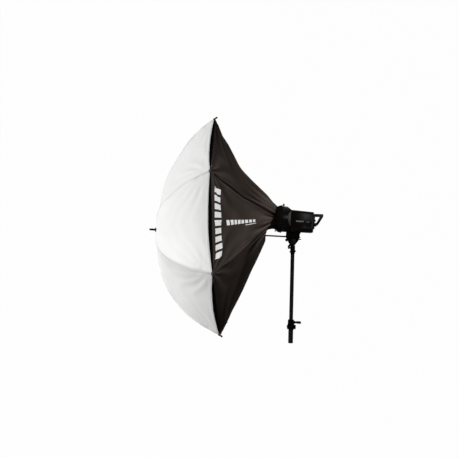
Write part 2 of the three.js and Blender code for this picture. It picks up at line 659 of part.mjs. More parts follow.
// rod centreline from the root eye to the tip
function ribPath(angle) {
  const reach = RIM_R + 2 - RIB_BEND_R;
  const curve = times(RIB_STEPS, i => RIB_BEND_R + reach * i / (RIB_STEPS - 1));
  return [HINGE_R, ...curve].map((radius, i) => {
    const x = i === 0 ? HINGE_X : CROWN_X + domeDepth(radius) + RIB_BEHIND;
    const follow = RIB_FOLLOW * smoothstep(radius / RIM_R, 0.46, 0.62);
    return flex(bulged(x, radius, angle, follow * fullness(radius, angle)));
  });
}

const tangentAt = angle => vec(0, -Math.sin(angle), Math.cos(angle));

// curved rod with an eye at the root and one at the stretcher joint
function rib(path, angle) {
  const tangent = tangentAt(angle);
  const rootEye = aim(rod(2.7, -1.6, 1.6), tangent, polar(HINGE_X, HINGE_R, angle));
  const jointEye = aim(rod(3.2, -1.4, 1.4), tangent, polar(JOINT_X, JOINT_R, angle));
  return join(sweep(path, RIB_ROD_R, 5), rootEye, jointEye);
}

// moulded end cap over the rib end, [radius, distance past the rib end]
function ribTip(path) {
  const cap = revolveZ(closed([
    [2.2, -6.5], [3.4, -6.5], [3.6, -1], [4.4, 0.5], [4.4, 5],
    [3, 7.4], [0, 8], [0, 0.4], [2.2, 0.4],
  ]), 10);
  const [beforeEnd, end] = path.slice(-2);
  return aim(cap, end.clone().sub(beforeEnd), end);
}

// straight rod beside the rib, from its joint to the runner
function stretcher(angle) {
  const tangent = tangentAt(angle);
  const beside = (x, radius) =>
    polar(x, radius, angle).addScaledVector(tangent, STRETCHER_OFFSET);
  const top = beside(JOINT_X, JOINT_R), foot = beside(RUNNER_X, HINGE_R);
  const middle = beside((JOINT_X + RUNNER_X) / 2, (JOINT_R + HINGE_R) / 2);
  const footEye = aim(rod(2.4, -1.3, 1.3), tangent, foot);
  const topEye = aim(rod(2.3, -1.3, 1.3), tangent, top);
  return join(sweep([top, middle, foot], STRETCHER_ROD_R, 5), footEye, topEye);
}

// slotted ring, long guide barrel, rear grip with the lock screw hole
function runner() {
  const bore = SHAFT_R + 0.5;
  // [distance behind the stretcher foot circle, radius]
  const body = revolveX(closed([
    [-4, bore], [-4, 16.4], [-2.5, 17.4], [3.5, 17.4], [5, 16.4], [5, 8.8],
    [46, 8.8], [49, 12.5], [72, 12.5], [75, 10.5], [75, bore],
  ]), 24).translate(RUNNER_X, 0, 0);
  const slots = ribSlots(() => box([-20, 20], [-2.2, 2.2], [9.2, 40])
    .translate(RUNNER_X, -STRETCHER_OFFSET, 0));
  const screwBore = rod(2.4, -30, -3).translate(RUNNER_SCREW_X, 0, 0);
  return cut(body, ...slots, screwBore);
}

function runnerScrew() {
  const screw = thumbScrew([SHAFT_R + GAP, 16],
    [[4.6, 13.4], [6.4, 15], [6.6, 21], [5, 23.6]]);
  return aim(screw, DOWN, vec(RUNNER_SCREW_X, 0, 0));
}

put(umbrella, 'umbrella_shaft', umbrellaShaft(), material.steel);
put(umbrella, 'front_ferrule', frontFerrule(), material.blackMetal);
put(umbrella, 'crown_hub', crownHub(), material.matte);
for (let i = 0; i < RIBS; i++) {
  const angle = ribAngle(i), path = ribPath(angle);
  put(umbrella, `rib_${i + 1}`, rib(path, angle), material.steel);
  put(umbrella, `rib_tip_${i + 1}`, ribTip(path), material.knob);
  put(umbrella, `stretcher_${i + 1}`, stretcher(angle), material.steel);
}
put(umbrella, 'runner', runner(), material.matte);
put(umbrella, 'runner_screw', runnerScrew(), material.knob);

// ---------------------------------------------------------------- fabric
const HALF_GORES = 2 * RIBS;
const UPPER_HANG = 48, LOWER_BELLY = 12;         // cover: slack inwards, bulge outwards

// white diffusion canopy: eight gores, straight between the ribs
function frontCanopy() {
  const radii = [6.2, 40, 110, 190, 260, 320, 380, 435, 485, 525, 548, HEM_R];
  const grid = (behind, inset) => radii.map(radius => times(HALF_GORES, k => {
    const shrink = (radius - inset) / radius;
    return flex(domePoint(radius, k, behind).multiply(vec(1, shrink, shrink)));
  }));
  return clean(sheet(grid(0, 0), grid(FABRIC, 0.4)));
}

// point on a circle in the plane of the cover opening
function openingPoint(angle, radius) {
  const rise = radius * Math.sin(angle);
  return vec(OPENING_X + rise * Math.sin(OPENING_TILT), radius * Math.cos(angle),
    OPENING_Z + rise * Math.cos(OPENING_TILT));
}

// t runs from the hem (0) to the opening (1)
function coverPoint(t, halfGore, inset) {
  const hem = flex(domePoint(HEM_R, halfGore, 11));
  const angle = (22.5 + 22.5 * halfGore) * DEG;
  const end = openingPoint(angle, OPENING_R);
  // upper panels hang inwards, lower panels belly out
  const upper = 0.5 + 0.5 * Math.sin(angle), lower = 0.5 - 0.5 * Math.sin(angle);
  const hang = 0.6 * (1 - Math.abs(2 * t - 1)) + 1.6 * t * (1 - t);
  const swell = smoothstep(t, 0, 0.45) * (1 - smoothstep(t, 0.93, 1));
  const belly = LOWER_BELLY * Math.pow(lower, 1.2) * swell;
  const sag = UPPER_HANG * Math.pow(upper, 1.5) * hang - belly;
  const outward = polar(0, 1, angle), along = end.clone().sub(hem).normalize();
  const normal = outward.clone().addScaledVector(along, -outward.dot(along)).normalize();
  return hem.lerp(end, t).addScaledVector(normal, -sag - inset);
}

function rearCover() {
  const stations = [0, 0.08, 0.17, 0.27, 0.38, 0.5, 0.62, 0.74, 0.85, 0.94, 1];
  const grid = inset => stations.map(t => times(HALF_GORES, k => coverPoint(t, k, inset)));
  const shaftHole = aim(rod(9, -170, -120, { sides: 16 }), BACK);
  return cut(sheet(grid(0), grid(FABRIC)), shaftHole);
}

// gathered sleeve from the cover over the front half of the bell
function rearSleeve() {
  // [blend from the cover opening (0) to the ring (1), ring x, ring radius]
  const stations = [
    [0, -97.5, 67.3], [0.5, -97.5, 67.3], [1, -97.5, 67.3], [1, -90, 67.8],
    [1, -82, 71], [1, -72, 71.4], [1, -63.5, 71.4],
  ];
  const grid = inset => stations.map(([blend, x, radius]) => times(24, k => {
    const angle = (22.5 + 15 * k) * DEG;
    const point = openingPoint(angle, OPENING_R - 3.2).add(vec(1, 0, 0))
      .lerp(polar(x, radius, angle, BELL_Z), blend);
    const centreZ = OPENING_Z + (BELL_Z - OPENING_Z) * blend;
    return point.addScaledVector(vec(0, point.y, point.z - centreZ).normalize(), -inset);
  }));
  return clean(sheet(grid(0), grid(FABRIC)));
}

// turn from the bottom of the bell to low on the +Y side
const turnAside = geo =>
  geo.translate(0, 0, -BELL_Z).rotateX(62 * DEG).translate(0, 0, BELL_Z);

// draw cord round the sleeve with two hanging ends
function drawcord() {
  const steps = 30;
  const loop = times(steps + 1, i => {
    const angle = (-82 + i * 344 / steps) * DEG;
    return polar(-93.5 - 2.5 * (0.5 - 0.5 * Math.sin(angle)), 70.4, angle, BELL_Z);
  });
  const tail = side => [vec(-98.6, 2.2 * side, 15.5), vec(-97, 1.9 * side, 19.5)];
  return turnAside(clean(sweep([...tail(1), ...loop, ...tail(-1).reverse()], 1.2, 5)));
}

function cordLock() {
  const barrel = revolveX([
    [-110, 0], [-110, 4.2], [-108.5, 5], [-95.5, 5], [-94, 4.2], [-94, 0],
  ], 12);
  const notch = box([-101.5, -93], [-4.2, 4.2], [-3, 6]);
  return turnAside(cut(barrel, notch).translate(0, 0, 14.2));
}

put(umbrella, 'front_canopy', frontCanopy(), material.whiteFabric);
put(umbrella, 'rear_cover', rearCover(), material.coverFabric);
put(umbrella, 'rear_sleeve', rearSleeve(), material.webbing);
put(umbrella, 'drawcord', drawcord(), material.webbing);
put(umbrella, 'cord_lock', cordLock(), material.knob);

export default root;
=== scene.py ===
"""Studio flash head firing into a white umbrella softbox, dressed over its CAD frame.

The umbrella shaft lies along x, tilted so the crown (toward -x) sits a little high; the flash
head is at the +x end. y runs across, with the camera on the -y side, and z is up.
Cloth is worked out in millimetres in shaft axes, then taken to the frame in metres.
The umbrella has eight ribs. A place around it is given in gores, g: 0 is rib 1, 1 is rib 2 and
so on, and the azimuth turns from +y toward +z.
"""

import json
import math

import bmesh
import bpy
import numpy as np
from mathutils import Matrix, Vector
from mathutils.kdtree import KDTree

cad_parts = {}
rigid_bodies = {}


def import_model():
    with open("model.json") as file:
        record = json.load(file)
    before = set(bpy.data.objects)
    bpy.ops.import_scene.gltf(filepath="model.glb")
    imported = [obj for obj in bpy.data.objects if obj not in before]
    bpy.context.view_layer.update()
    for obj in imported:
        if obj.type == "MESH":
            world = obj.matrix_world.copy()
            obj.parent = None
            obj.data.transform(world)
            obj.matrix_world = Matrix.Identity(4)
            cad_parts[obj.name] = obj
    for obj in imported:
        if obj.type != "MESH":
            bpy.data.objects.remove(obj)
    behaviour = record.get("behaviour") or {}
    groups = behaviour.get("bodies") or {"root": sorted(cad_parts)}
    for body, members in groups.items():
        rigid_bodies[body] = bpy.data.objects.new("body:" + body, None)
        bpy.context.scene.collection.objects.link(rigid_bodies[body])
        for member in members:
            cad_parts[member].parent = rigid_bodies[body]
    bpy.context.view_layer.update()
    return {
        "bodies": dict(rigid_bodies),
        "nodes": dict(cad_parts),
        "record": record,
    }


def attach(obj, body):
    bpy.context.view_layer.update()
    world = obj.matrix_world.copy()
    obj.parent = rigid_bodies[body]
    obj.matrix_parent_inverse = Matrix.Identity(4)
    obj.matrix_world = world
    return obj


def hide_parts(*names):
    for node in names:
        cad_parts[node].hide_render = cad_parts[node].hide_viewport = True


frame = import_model()
BODIES, NODES = frame["bodies"], frame["nodes"]
pi = math.pi

# ------------------------------------------------------------------ driving dimensions (mm)
PIVOT_Z = 530.0                 # tilt pivot above the frame's origin
TILT = math.radians(1.5)
SHAFT_Z = 24.0                  # shaft axis above the pivot
RIM_R = 571.5                   # rim corners from the shaft
CROWN_R = 6.0                   # hole at the crown
CROWN_X = -726.6
DOME = 338.7                    # crown to rim along the shaft
SAG = 0.079                     # radians the rim sags
SAG_START = 0.42                # share of the span that stays stiff
SPAN = math.hypot(RIM_R, DOME)
SCALLOP = 0.0165                # depth of the white edge's scallops, as a share of the rim radius
RIM_GORE = 437.0                # width of a gore at the rim
TIED_GORE = 57.0                # width of a gore at the tied end, for the folds
TIED_SEAM_GORE = 58.0           # the same, for the seams
GORE_ARC = 0.785                # radians a gore spans

# tied end of the cover
OPEN_X, OPEN_Z = -126.0, 82.0
OPEN_R = 74.0
OPEN_TILT = math.radians(20.7)
OPEN_UP = np.array([math.sin(OPEN_TILT), 0, math.cos(OPEN_TILT)])

# rounded front of the bell
BELL_Z = 92.0
BELL_X = (-98, -93, -82, -70)
BELL_RADII = (52.0, 60.5, 66.5, 68.0)

# cloth sizes for the weave (m)
GORE_UV, CANOPY_UV, COVER_UV = 0.44, 0.66, 0.56

GORE_COLS = 30                  # mesh columns a gore, canopy
COVER_COLS = 64                 # mesh columns a gore, cover
CUFF_COLS = 400
TUBE_SIDES = 8
COVER_PAINTED_SHADING = 0.95               # strength of the painted shading attribute on the cover


def world(points):
    """Shaft-axis coordinates (mm) to the frame (m); the last axis is x, y, z."""
    p = np.asarray(points, float)
    c, s = math.cos(TILT), math.sin(TILT)
    x, z = p[..., 0], p[..., 2] + SHAFT_Z
    return np.stack([x * c + z * s, p[..., 1], -x * s + z * c + PIVOT_Z], -1) / 1000.0


def rise(x, start, end):
    """Smooth step from 0 at start to 1 at end."""
    t = np.clip((x - start) / (end - start), 0, 1)
    return t * t * (3 - 2 * t)


def ridge(x, width):
    """Rounded peak of height 1 at x = 0."""
    return np.exp(-(x / width) ** 2)


def wave(x, y, seed, octaves):
    """Smooth repeatable noise from a few sines, about -1 to 1."""
    rng = np.random.RandomState(seed)
    out, amp, total = np.zeros(np.broadcast(x, y).shape), 1.0, 0.0
    for k in range(octaves):
        a, b, c = rng.uniform(0, 2 * pi, 3)
        kx = 1.6 ** k * rng.uniform(0.8, 1.25)
        ky = 1.6 ** k * rng.uniform(0.8, 1.25)
        out = out + amp * np.sin(kx * x + a + 1.3 * np.sin(ky * 0.7 * y + c)) * np.cos(ky * y + b)
        total += amp
        amp *= 0.6
    return out / total * 1.4


# ------------------------------------------------------------------ mesh helpers
def link_object(name, data):
    ob = bpy.data.objects.new(name, data)
    bpy.context.scene.collection.objects.link(ob)
    return ob


def make_mesh(name, vertices, faces, materials):
    """Smooth-shaded mesh; vertices in metres."""
    mesh = bpy.data.meshes.new(name)
    mesh.from_pydata([tuple(v) for v in vertices], [], faces)
    for material in materials:
        mesh.materials.append(material)
    mesh.polygons.foreach_set("use_smooth", [True] * len(faces))
    return mesh


def face_outward(mesh):
    bm = bmesh.new()
    bm.from_mesh(mesh)
    bmesh.ops.recalc_face_normals(bm, faces=bm.faces)
    bm.to_mesh(mesh)
    bm.free()


def grid_object(name, points, u, v, materials, closed=True, flip=True):
    """Sheet from points (rows, columns, xyz) in mm. closed joins the last column to the first.

    u holds a UV coordinate for each column (one more than the columns if closed), v for each row.
    """
    rows, cols, _ = points.shape
    faces, uvs = [], []
    for i in range(rows - 1):
        for k in range(cols if closed else cols - 1):
            quad = [(i, k), (i + 1, k), (i + 1, k + 1), (i, k + 1)]
            if flip:
                quad.reverse()
            faces.append([row * cols + col % cols for row, col in quad])
            uvs += [(u[col], v[row]) for row, col in quad]
    mesh = make_mesh(name, world(points).reshape(-1, 3), faces, materials)
    mesh.polygons.foreach_set("material_index", [0] * len(faces))
    layer = mesh.uv_layers.new(name="UVMap")
    layer.data.foreach_set("uv", np.array(uvs, np.float32).ravel())
    mesh.update()
    return link_object(name, mesh)


def closed_tube(name, points, radius, material):
    """Round cord in a closed loop through points (mm); radius in metres."""
    points = [Vector(p) for p in world(points)]
    n = len(points)
    vertices, faces = [], []
    up = None
    for i, p in enumerate(points):
        along = (points[(i + 1) % n] - points[(i - 1) % n]).normalized()
        if up is None:
            up = Vector((0, 0, 1)) if abs(along.z) < 0.9 else Vector((0, 1, 0))
        side = along.cross(up).normalized()
        up = side.cross(along).normalized()
        for k in range(TUBE_SIDES):
            angle = 2 * pi * k / TUBE_SIDES
            offset = up * (radius * math.cos(angle)) + side * (radius * math.sin(angle))
            vertices.append(p + offset)
    for i in range(n):
        a, b = i * TUBE_SIDES, (i + 1) % n * TUBE_SIDES
        for k in range(TUBE_SIDES):
            k2 = (k + 1) % TUBE_SIDES
            faces.append((a + k, a + k2, b + k2, b + k))
    mesh = make_mesh(name, vertices, faces, [material])
    face_outward(mesh)
    return link_object(name, mesh)


# ------------------------------------------------------------------ shader helpers
class Shader:
    """Short calls that build one node tree."""

    def __init__(self, tree):
        self.tree = tree

    def node(self, kind, **settings):
        node = self.tree.nodes.new(kind)
        for key, value in settings.items():
            setattr(node, key, value)
        return node

    def feed(self, socket, value):
        """Link another node's output to the socket, or set a plain value."""
        if isinstance(value, bpy.types.NodeSocket):
            self.tree.links.new(value, socket)
        else:
            socket.default_value = value

    def principled(self):
        return self.tree.nodes["Principled BSDF"]

    def set_principled(self, values):
        for name, value in values.items():
            self.feed(self.principled().inputs[name], value)

    def surface(self, shader_socket, output="Material Output"):
        self.feed(self.tree.nodes[output].inputs["Surface"], shader_socket)

    def math(self, operation, first, second=None):
        node = self.node("ShaderNodeMath", operation=operation)
        self.feed(node.inputs[0], first)
        if second is not None:
            self.feed(node.inputs[1], second)
        return node.outputs[0]

    def plus(self, first, second):
        return self.math("ADD", first, second)

    def times(self, first, second):
        return self.math("MULTIPLY", first, second)

    def ramp(self, source, *stops):
        """Grey ramp; each stop is (position, grey)."""
        node = self.node("ShaderNodeValToRGB")
        elements = node.color_ramp.elements
        while len(elements) < len(stops):
            elements.new(0.5)
        for element, (position, grey) in zip(elements, stops):
            element.position = position
            element.color = (grey, grey, grey, 1)
        self.feed(node.inputs["Fac"], source)
        return node.outputs["Color"]

    def coordinates(self, kind):
        """Separated X, Y, Z of a texture coordinate."""
        source = self.node("ShaderNodeTexCoord")
        split = self.node("ShaderNodeSeparateXYZ")
        self.feed(split.inputs[0], source.outputs[kind])
        return split.outputs

    def noise(self, scale, detail=3, rough=0.5, stretch=None):
        """Noise in object space, finer along the axes with a larger stretch."""
        source = self.node("ShaderNodeTexCoord").outputs["Object"]
        if stretch:
            mapping = self.node("ShaderNodeMapping")
            mapping.inputs["Scale"].default_value = stretch
            self.feed(mapping.inputs["Vector"], source)
            source = mapping.outputs["Vector"]
        node = self.node("ShaderNodeTexNoise")
        node.inputs["Scale"].default_value = scale
        node.inputs["Detail"].default_value = detail
        node.inputs["Roughness"].default_value = rough
        self.feed(node.inputs["Vector"], source)
        return node.outputs["Fac"]

    def mix(self, factor, first, second):
        """Colour mix, first at factor 0 and second at 1."""
        node = self.node("ShaderNodeMix", data_type="RGBA")
        self.feed(node.inputs[0], factor)
        for i, color in ((6, first), (7, second)):
            self.feed(node.inputs[i], (*color, 1) if isinstance(color, tuple) else color)
        return node.outputs[2]

    def mix_shaders(self, factor, first, second):
        node = self.node("ShaderNodeMixShader")
        for i, value in enumerate((factor, first, second)):
            self.feed(node.inputs[i], value)
        return node.outputs[0]

    def bump(self, height, strength, distance):
        """Bump the principled surface; returns the normal."""
        node = self.node("ShaderNodeBump")
        node.inputs["Strength"].default_value = strength
        node.inputs["Distance"].default_value = distance
        self.feed(node.inputs["Height"], height)
        self.set_principled({"Normal": node.outputs["Normal"]})
        return node.outputs["Normal"]

    def weave(self, pitch, amount):
        """Plain weave height from UVs in metres, and its heavier line every eighth thread."""
        uv = self.node("ShaderNodeUVMap", uv_map="UVMap")
        split = self.node("ShaderNodeSeparateXYZ")
        self.feed(split.inputs[0], uv.outputs["UV"])
        x, y = split.outputs["X"], split.outputs["Y"]
        k = 2 * pi / pitch

        def line(axis):
            cosine = self.math("COSINE", self.times(axis, k / 16))
            return self.math("POWER", self.math("ABSOLUTE", cosine), 24)

        sine_x = self.math("SINE", self.times(x, k))
        sine_y = self.math("SINE", self.times(y, k))
        threads = self.times(sine_x, sine_y)
        grid = self.math("MAXIMUM", line(x), line(y))
        return self.plus(self.times(threads, amount), self.times(grid, amount * 1.5)), grid


def new_material(name):
    material = bpy.data.materials.new(name)
    material.use_nodes = True
    return material, Shader(material.node_tree)


def shade(color, factor, lift=0.0):
    return tuple(min(1, c * factor + lift) for c in color)


def grey(level):
    return (level, level, level)


# ------------------------------------------------------------------ kinds of material
def fabric(name, base, dark, rough, relief, pitch=0.0014, specular=0.3, sheen=0.0,
           sheen_rough=0.4, translucent=0.0, gloss=0.0, painted_shading=0.0):
    """Woven cloth. pitch is the thread spacing (m); the last argument sets how strongly the painted
    shading attribute darkens the folds and lightens the ridges.
    """
    material, sh = new_material(name)
    threads, grid = sh.weave(pitch, 0.5)
    patches = sh.noise(6, detail=4, rough=0.55)
    speckle = sh.noise(60, rough=0.6)
    color = sh.mix(sh.ramp(patches, (0.3, 0.0), (0.7, 1.0)), dark, base)
    color = sh.mix(sh.times(grid, 0.12), color, shade(base, 1.15))
    # painted shading: the attribute darkens the colour in the folds and lightens it on the ridges,
    # standing in for light and shade
    if painted_shading > 0:
        attribute = sh.node("ShaderNodeAttribute", attribute_name="painted_shading")
        level = sh.plus(sh.times(attribute.outputs["Fac"], painted_shading), 1.0)
        level = sh.math("MINIMUM", sh.math("MAXIMUM", level, 0.06), 2.4)
        scale = sh.node("ShaderNodeVectorMath", operation="SCALE")
        sh.feed(scale.inputs[0], color)
        sh.feed(scale.inputs["Scale"], level)
        color = scale.outputs["Vector"]
    roughness = sh.plus(sh.times(speckle, 0.16), rough - 0.08)
    sh.set_principled({
        "Base Color": color, "Roughness": roughness, "Sheen Weight": sheen,
        "Sheen Roughness": sheen_rough, "Specular IOR Level": specular})
    height = sh.plus(sh.times(threads, 0.3), sh.times(sh.noise(22, detail=4, rough=0.6), 1.4))
    normal = sh.bump(height, strength=relief, distance=0.0012)
    body = sh.principled().outputs[0]
    if gloss > 0:
        glossy = sh.node("ShaderNodeBsdfGlossy")
        sh.feed(glossy.inputs["Roughness"], sh.plus(roughness, -0.04))
        sh.feed(glossy.inputs["Normal"], normal)
        sh.surface(sh.mix_shaders(gloss, body, glossy.outputs[0]))
    if translucent > 0:
        through = sh.node("ShaderNodeBsdfTranslucent")
        through.inputs["Color"].default_value = (*base, 1)
        sh.surface(sh.mix_shaders(translucent, body, through.outputs[0]))
    return material


def edge_mask(sh, start, end):
    """1 on convex edges."""
    geometry = sh.node("ShaderNodeNewGeometry")
    return sh.ramp(geometry.outputs["Pointiness"], (start, 0.0), (end, 1.0))


def metal_paint(name, color, rough, specular, metallic, wear):
    """Coated metal with orange peel and bright worn edges."""
    material, sh = new_material(name)
    peel = sh.noise(180, rough=0.6)
    edge = edge_mask(sh, 0.505, 0.56)
    fine = sh.ramp(sh.noise(420, detail=2, rough=0.6), (0.45, 0.0), (0.6, 1.0))
    worn = sh.times(sh.times(edge, fine), wear)
    coat = sh.mix(sh.times(peel, 0.5), color, shade(color, 1.5, lift=0.0005))
    sh.set_principled({
        "Base Color": sh.mix(worn, coat, grey(0.10)), "Metallic": metallic,
        "Specular IOR Level": specular,
        "Roughness": sh.plus(sh.times(peel, 0.14), rough - 0.07)})
    sh.bump(sh.noise(900, detail=2), strength=0.12, distance=0.0003)
    return material


def brushed(name, color, rough, stretch=(1, 60, 60)):
    """Bare metal with brush lines and dull spots."""
    material, sh = new_material(name)
    lines = sh.noise(120, detail=4, rough=0.6, stretch=stretch)
    metal = sh.mix(lines, shade(color, 0.75), shade(color, 1.2))
    spots = sh.ramp(sh.noise(35, detail=4, rough=0.7), (0.62, 0.0), (0.75, 1.0))
    sh.set_principled({
        "Base Color": sh.mix(sh.times(spots, 0.5), metal, shade(color, 0.35)),
        "Metallic": 1.0, "Roughness": sh.plus(sh.times(lines, 0.2), rough - 0.1)})
    sh.bump(lines, strength=0.08, distance=0.0002)
    return material


def plastic(name, color, rough, grain=700, relief=0.15, specular=0.5, dust=0.25):
    """Moulded plastic: fine spark texture, faint dust and slightly polished edges."""
    material, sh = new_material(name)
    patches = sh.noise(14, detail=4, rough=0.6)
    spark = sh.noise(grain, detail=2)
    edge = edge_mask(sh, 0.51, 0.58)
    dusty = sh.times(sh.ramp(patches, (0.4, 0.0), (0.75, 1.0)), dust)
    body = sh.mix(dusty, color, shade(color, 1.7, lift=0.0008))
    body = sh.mix(sh.times(edge, 0.35), body, shade(color, 2.2, lift=0.006))
    roughness = sh.plus(sh.times(patches, 0.18), rough - 0.09)
    sh.set_principled({
        "Base Color": body, "Specular IOR Level": specular,
        "Roughness": sh.math("SUBTRACT", roughness, sh.times(edge, 0.1))})
    sh.bump(spark, strength=relief, distance=0.0003)
    return material


def glassy(name, color, rough, transmission):
    material, sh = new_material(name)
    noise = sh.noise(40)
    sh.set_principled({
        "Base Color": sh.mix(noise, color, shade(color, 1.08)),
        "Roughness": sh.plus(sh.times(noise, 0.1), rough),
        "Transmission Weight": transmission, "IOR": 1.46})
    return material


def painted_light_flats(material, color, specular, base_specular):
    """Painted light on the two slanted side flats of the bell: a lighter colour and more specular
    than the rest, found by the way the surface faces.
    """
    sh = Shader(material.node_tree)
    normal = sh.coordinates("Normal")
    across = sh.math("ABSOLUTE", normal["Y"])
    facing = sh.plus(sh.times(normal["X"], 0.63), sh.times(across, 0.776))
    mask = sh.ramp(facing, (0.972, 0.0), (0.988, 1.0))
    plain = sh.principled().inputs["Base Color"].links[0].from_socket
    level = sh.plus(sh.times(mask, specular - base_specular), base_specular)
    sh.set_principled({"Base Color": sh.mix(mask, plain, color), "Specular IOR Level": level})


# ------------------------------------------------------------------ the materials
WHITE = fabric("diffusion_nylon", (0.93, 0.93, 0.925), (0.91, 0.91, 0.905), rough=0.8,
               relief=0.18, pitch=0.0012, specular=0.15, sheen=0.05, sheen_rough=0.5,
               translucent=0.12, painted_shading=1.0)
COVER = fabric("cover_nylon", (0.0860, 0.0670, 0.0570), (0.0600, 0.0470, 0.0400), rough=0.34,
               relief=0.30, specular=0.0, sheen_rough=0.35, gloss=0.0060, painted_shading=COVER_PAINTED_SHADING)
# black cloth like the cover's, painted much darker as the shade the band lies in
BAND = fabric("rim_band_nylon_painted_shade", (0.0022, 0.002, 0.002), (0.0014, 0.0013, 0.0013), rough=0.95,
              relief=0.3, specular=0.0, sheen_rough=0.5)
CUFF = fabric("cuff_nylon", (0.0150, 0.0118, 0.0104), (0.0070, 0.0056, 0.0050), rough=0.45,
              relief=0.4, specular=0.0, gloss=0.003)
# webbing that no piece wears
fabric("corner_webbing", (0.022, 0.020, 0.020), (0.012, 0.012, 0.012), rough=0.7,
       relief=0.5, pitch=0.0022, sheen=0.2)
LINING = fabric("silver_lining", (0.62, 0.62, 0.63), (0.50, 0.50, 0.51), rough=0.42,
                relief=0.35, specular=0.8)
Shader(LINING.node_tree).set_principled({"Metallic": 0.75})
THREAD = fabric("thread", grey(0.10), grey(0.05), rough=0.7, relief=0.3, pitch=0.0006,
                sheen=0.3, sheen_rough=0.3)
WHITE_THREAD = fabric("thread_white", (0.74, 0.74, 0.73), (0.66, 0.66, 0.65), rough=0.7,
                      relief=0.3, pitch=0.0006, sheen=0.3, sheen_rough=0.3)
PRINT = fabric("reflective_print", (0.86, 0.86, 0.85), grey(0.78), rough=0.55, relief=0.25,
               specular=0.4)
# a weak glow stands in for print that returns light to the viewer
Shader(PRINT.node_tree).set_principled({
    "Emission Color": (1.0, 1.0, 0.99, 1.0), "Emission Strength": 0.34})
STEEL = brushed("umbrella_steel", (0.30, 0.30, 0.31), rough=0.32)
SHAFT = metal_paint("shaft_black", (0.012, 0.011, 0.011), rough=0.34, specular=0.3,
                    metallic=0.1, wear=0.5)
BLACK_METAL = metal_paint("black_powder_coat", (0.0030, 0.0026, 0.0028), rough=0.42,
                          specular=0.05, metallic=0.0, wear=0.25)
GLOSS = plastic("moulded_black", (0.0042, 0.0022, 0.0018), rough=0.36, grain=650, relief=0.10,
                specular=0.09)
BELL_SPECULAR = 0.17
BELL = plastic("moulded_black_bell", (0.0014, 0.0009, 0.0008), rough=0.36, grain=650,
               relief=0.12, specular=BELL_SPECULAR, dust=0.2)
# painted light: the bell's slanted side flats are drawn lighter and more specular than the rest of
# the bell
painted_light_flats(BELL, (0.0240, 0.0180, 0.0165), specular=0.30, base_specular=BELL_SPECULAR)
MATTE = plastic("glass_filled_nylon", (0.0014, 0.0009, 0.0009), rough=0.6, grain=420,
                relief=0.3, specular=0.03, dust=0.2)
KNOB = plastic("knob_black", (0.0040, 0.0034, 0.0034), rough=0.5, grain=380, relief=0.3,
               specular=0.14, dust=0.4)
RED = plastic("button_plastic", (0.012, 0.004, 0.004), rough=0.4, relief=0.08,
              specular=0.2, dust=0.1)
SENSOR = glassy("sensor_dome", (0.030, 0.026, 0.026), rough=0.16, transmission=0.25)
GLASS = glassy("lamp_quartz", (0.95, 0.94, 0.90), rough=0.1, transmission=0.8)
MIRROR = brushed("spun_aluminium", (0.82, 0.82, 0.83), rough=0.2, stretch=(60, 1, 1))
BLUE = plastic("capacitor_sleeve", (0.02, 0.04, 0.10), rough=0.4)
BOARD = plastic("circuit_board", (0.004, 0.012, 0.006), rough=0.5, specular=0.15, dust=0.1)
LABEL = plastic("label_grey", (0.17, 0.16, 0.16), rough=0.45, grain=800, relief=0.05,
                specular=0.4, dust=0.1)

BY_SLOT = {
    "canopy_fabric": WHITE, "cover_fabric": COVER, "cuff_fabric": CUFF, "frame_steel": STEEL,
    "black_metal": BLACK_METAL, "gloss_black": GLOSS, "matte_black": MATTE, "knob_black": KNOB,
    "reflector": MIRROR, "lamp_glass": GLASS, "sensor_plastic": SENSOR, "red_plastic": RED,
    "capacitor_sleeve": BLUE, "circuit_board": BOARD}
BY_NODE = {"umbrella_shaft": SHAFT, "front_bell": BELL}

# bevel widths (m)
BEVEL = {
    "lamp_housing": 0.0016, "rear_handle": 0.0012, "bracket_head": 0.001,
    "bracket_base": 0.0006, "lock_collar": 0.0008, "collar_knob": 0.0006,
    "tilt_lever": 0.0006, "rear_panel": 0.0006, "power_switch": 0.0005,
    "front_bell": 0.0004, "runner": 0.0004, "crown_hub": 0.0004}


def dress_frame():
    """Materials, softened edges and smooth shading for the CAD pieces."""
    slot_of = {part["node"]: part["material_slot"] for part in frame["record"]["subparts"]}
    for name, ob in NODES.items():
        material = BY_NODE.get(name, BY_SLOT[slot_of[name]])
        ob.data.materials.clear()
        ob.data.materials.append(material)
        ob.data.polygons.foreach_set("use_smooth", [True] * len(ob.data.polygons))
        weld = ob.modifiers.new("weld", "WELD")
        weld.merge_threshold = 2e-5
        if name in BEVEL:
            bevel = ob.modifiers.new("edges", "BEVEL")
            bevel.width = BEVEL[name]
            bevel.segments = 2
            bevel.limit_method = "ANGLE"
            bevel.angle_limit = math.radians(35)
            bevel.use_clamp_overlap = True
        crease = ob.modifiers.new("creases", "EDGE_SPLIT")
        crease.split_angle = math.radians(32)
        crease.use_edge_sharp = False


dress_frame()

# ------------------------------------------------------------------ fabric rig
FABRIC_BODIES = ["umbrella"] + [f"rib_{i}" for i in range(1, 9)]


def make_rig():
    """Armature with one bone for each frame body that carries cloth."""
    armature = bpy.data.armatures.new("fabric_rig")
    rig = link_object("fabric_rig", armature)
    bpy.context.view_layer.objects.active = rig
    bpy.ops.object.mode_set(mode="EDIT")
    for body in FABRIC_BODIES:
        bone = armature.edit_bones.new(body)
        bone.head, bone.tail, bone.roll = (0, 0, 0), (0, 1, 0), 0
    bpy.ops.object.mode_set(mode="OBJECT")
    for body in FABRIC_BODIES:
        copy = rig.pose.bones[body].constraints.new("COPY_TRANSFORMS")
        copy.target = BODIES[body]
        copy.target_space = copy.owner_space = "WORLD"
    rig.hide_render = True
    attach(rig, "umbrella")
    return rig


RIG = make_rig()


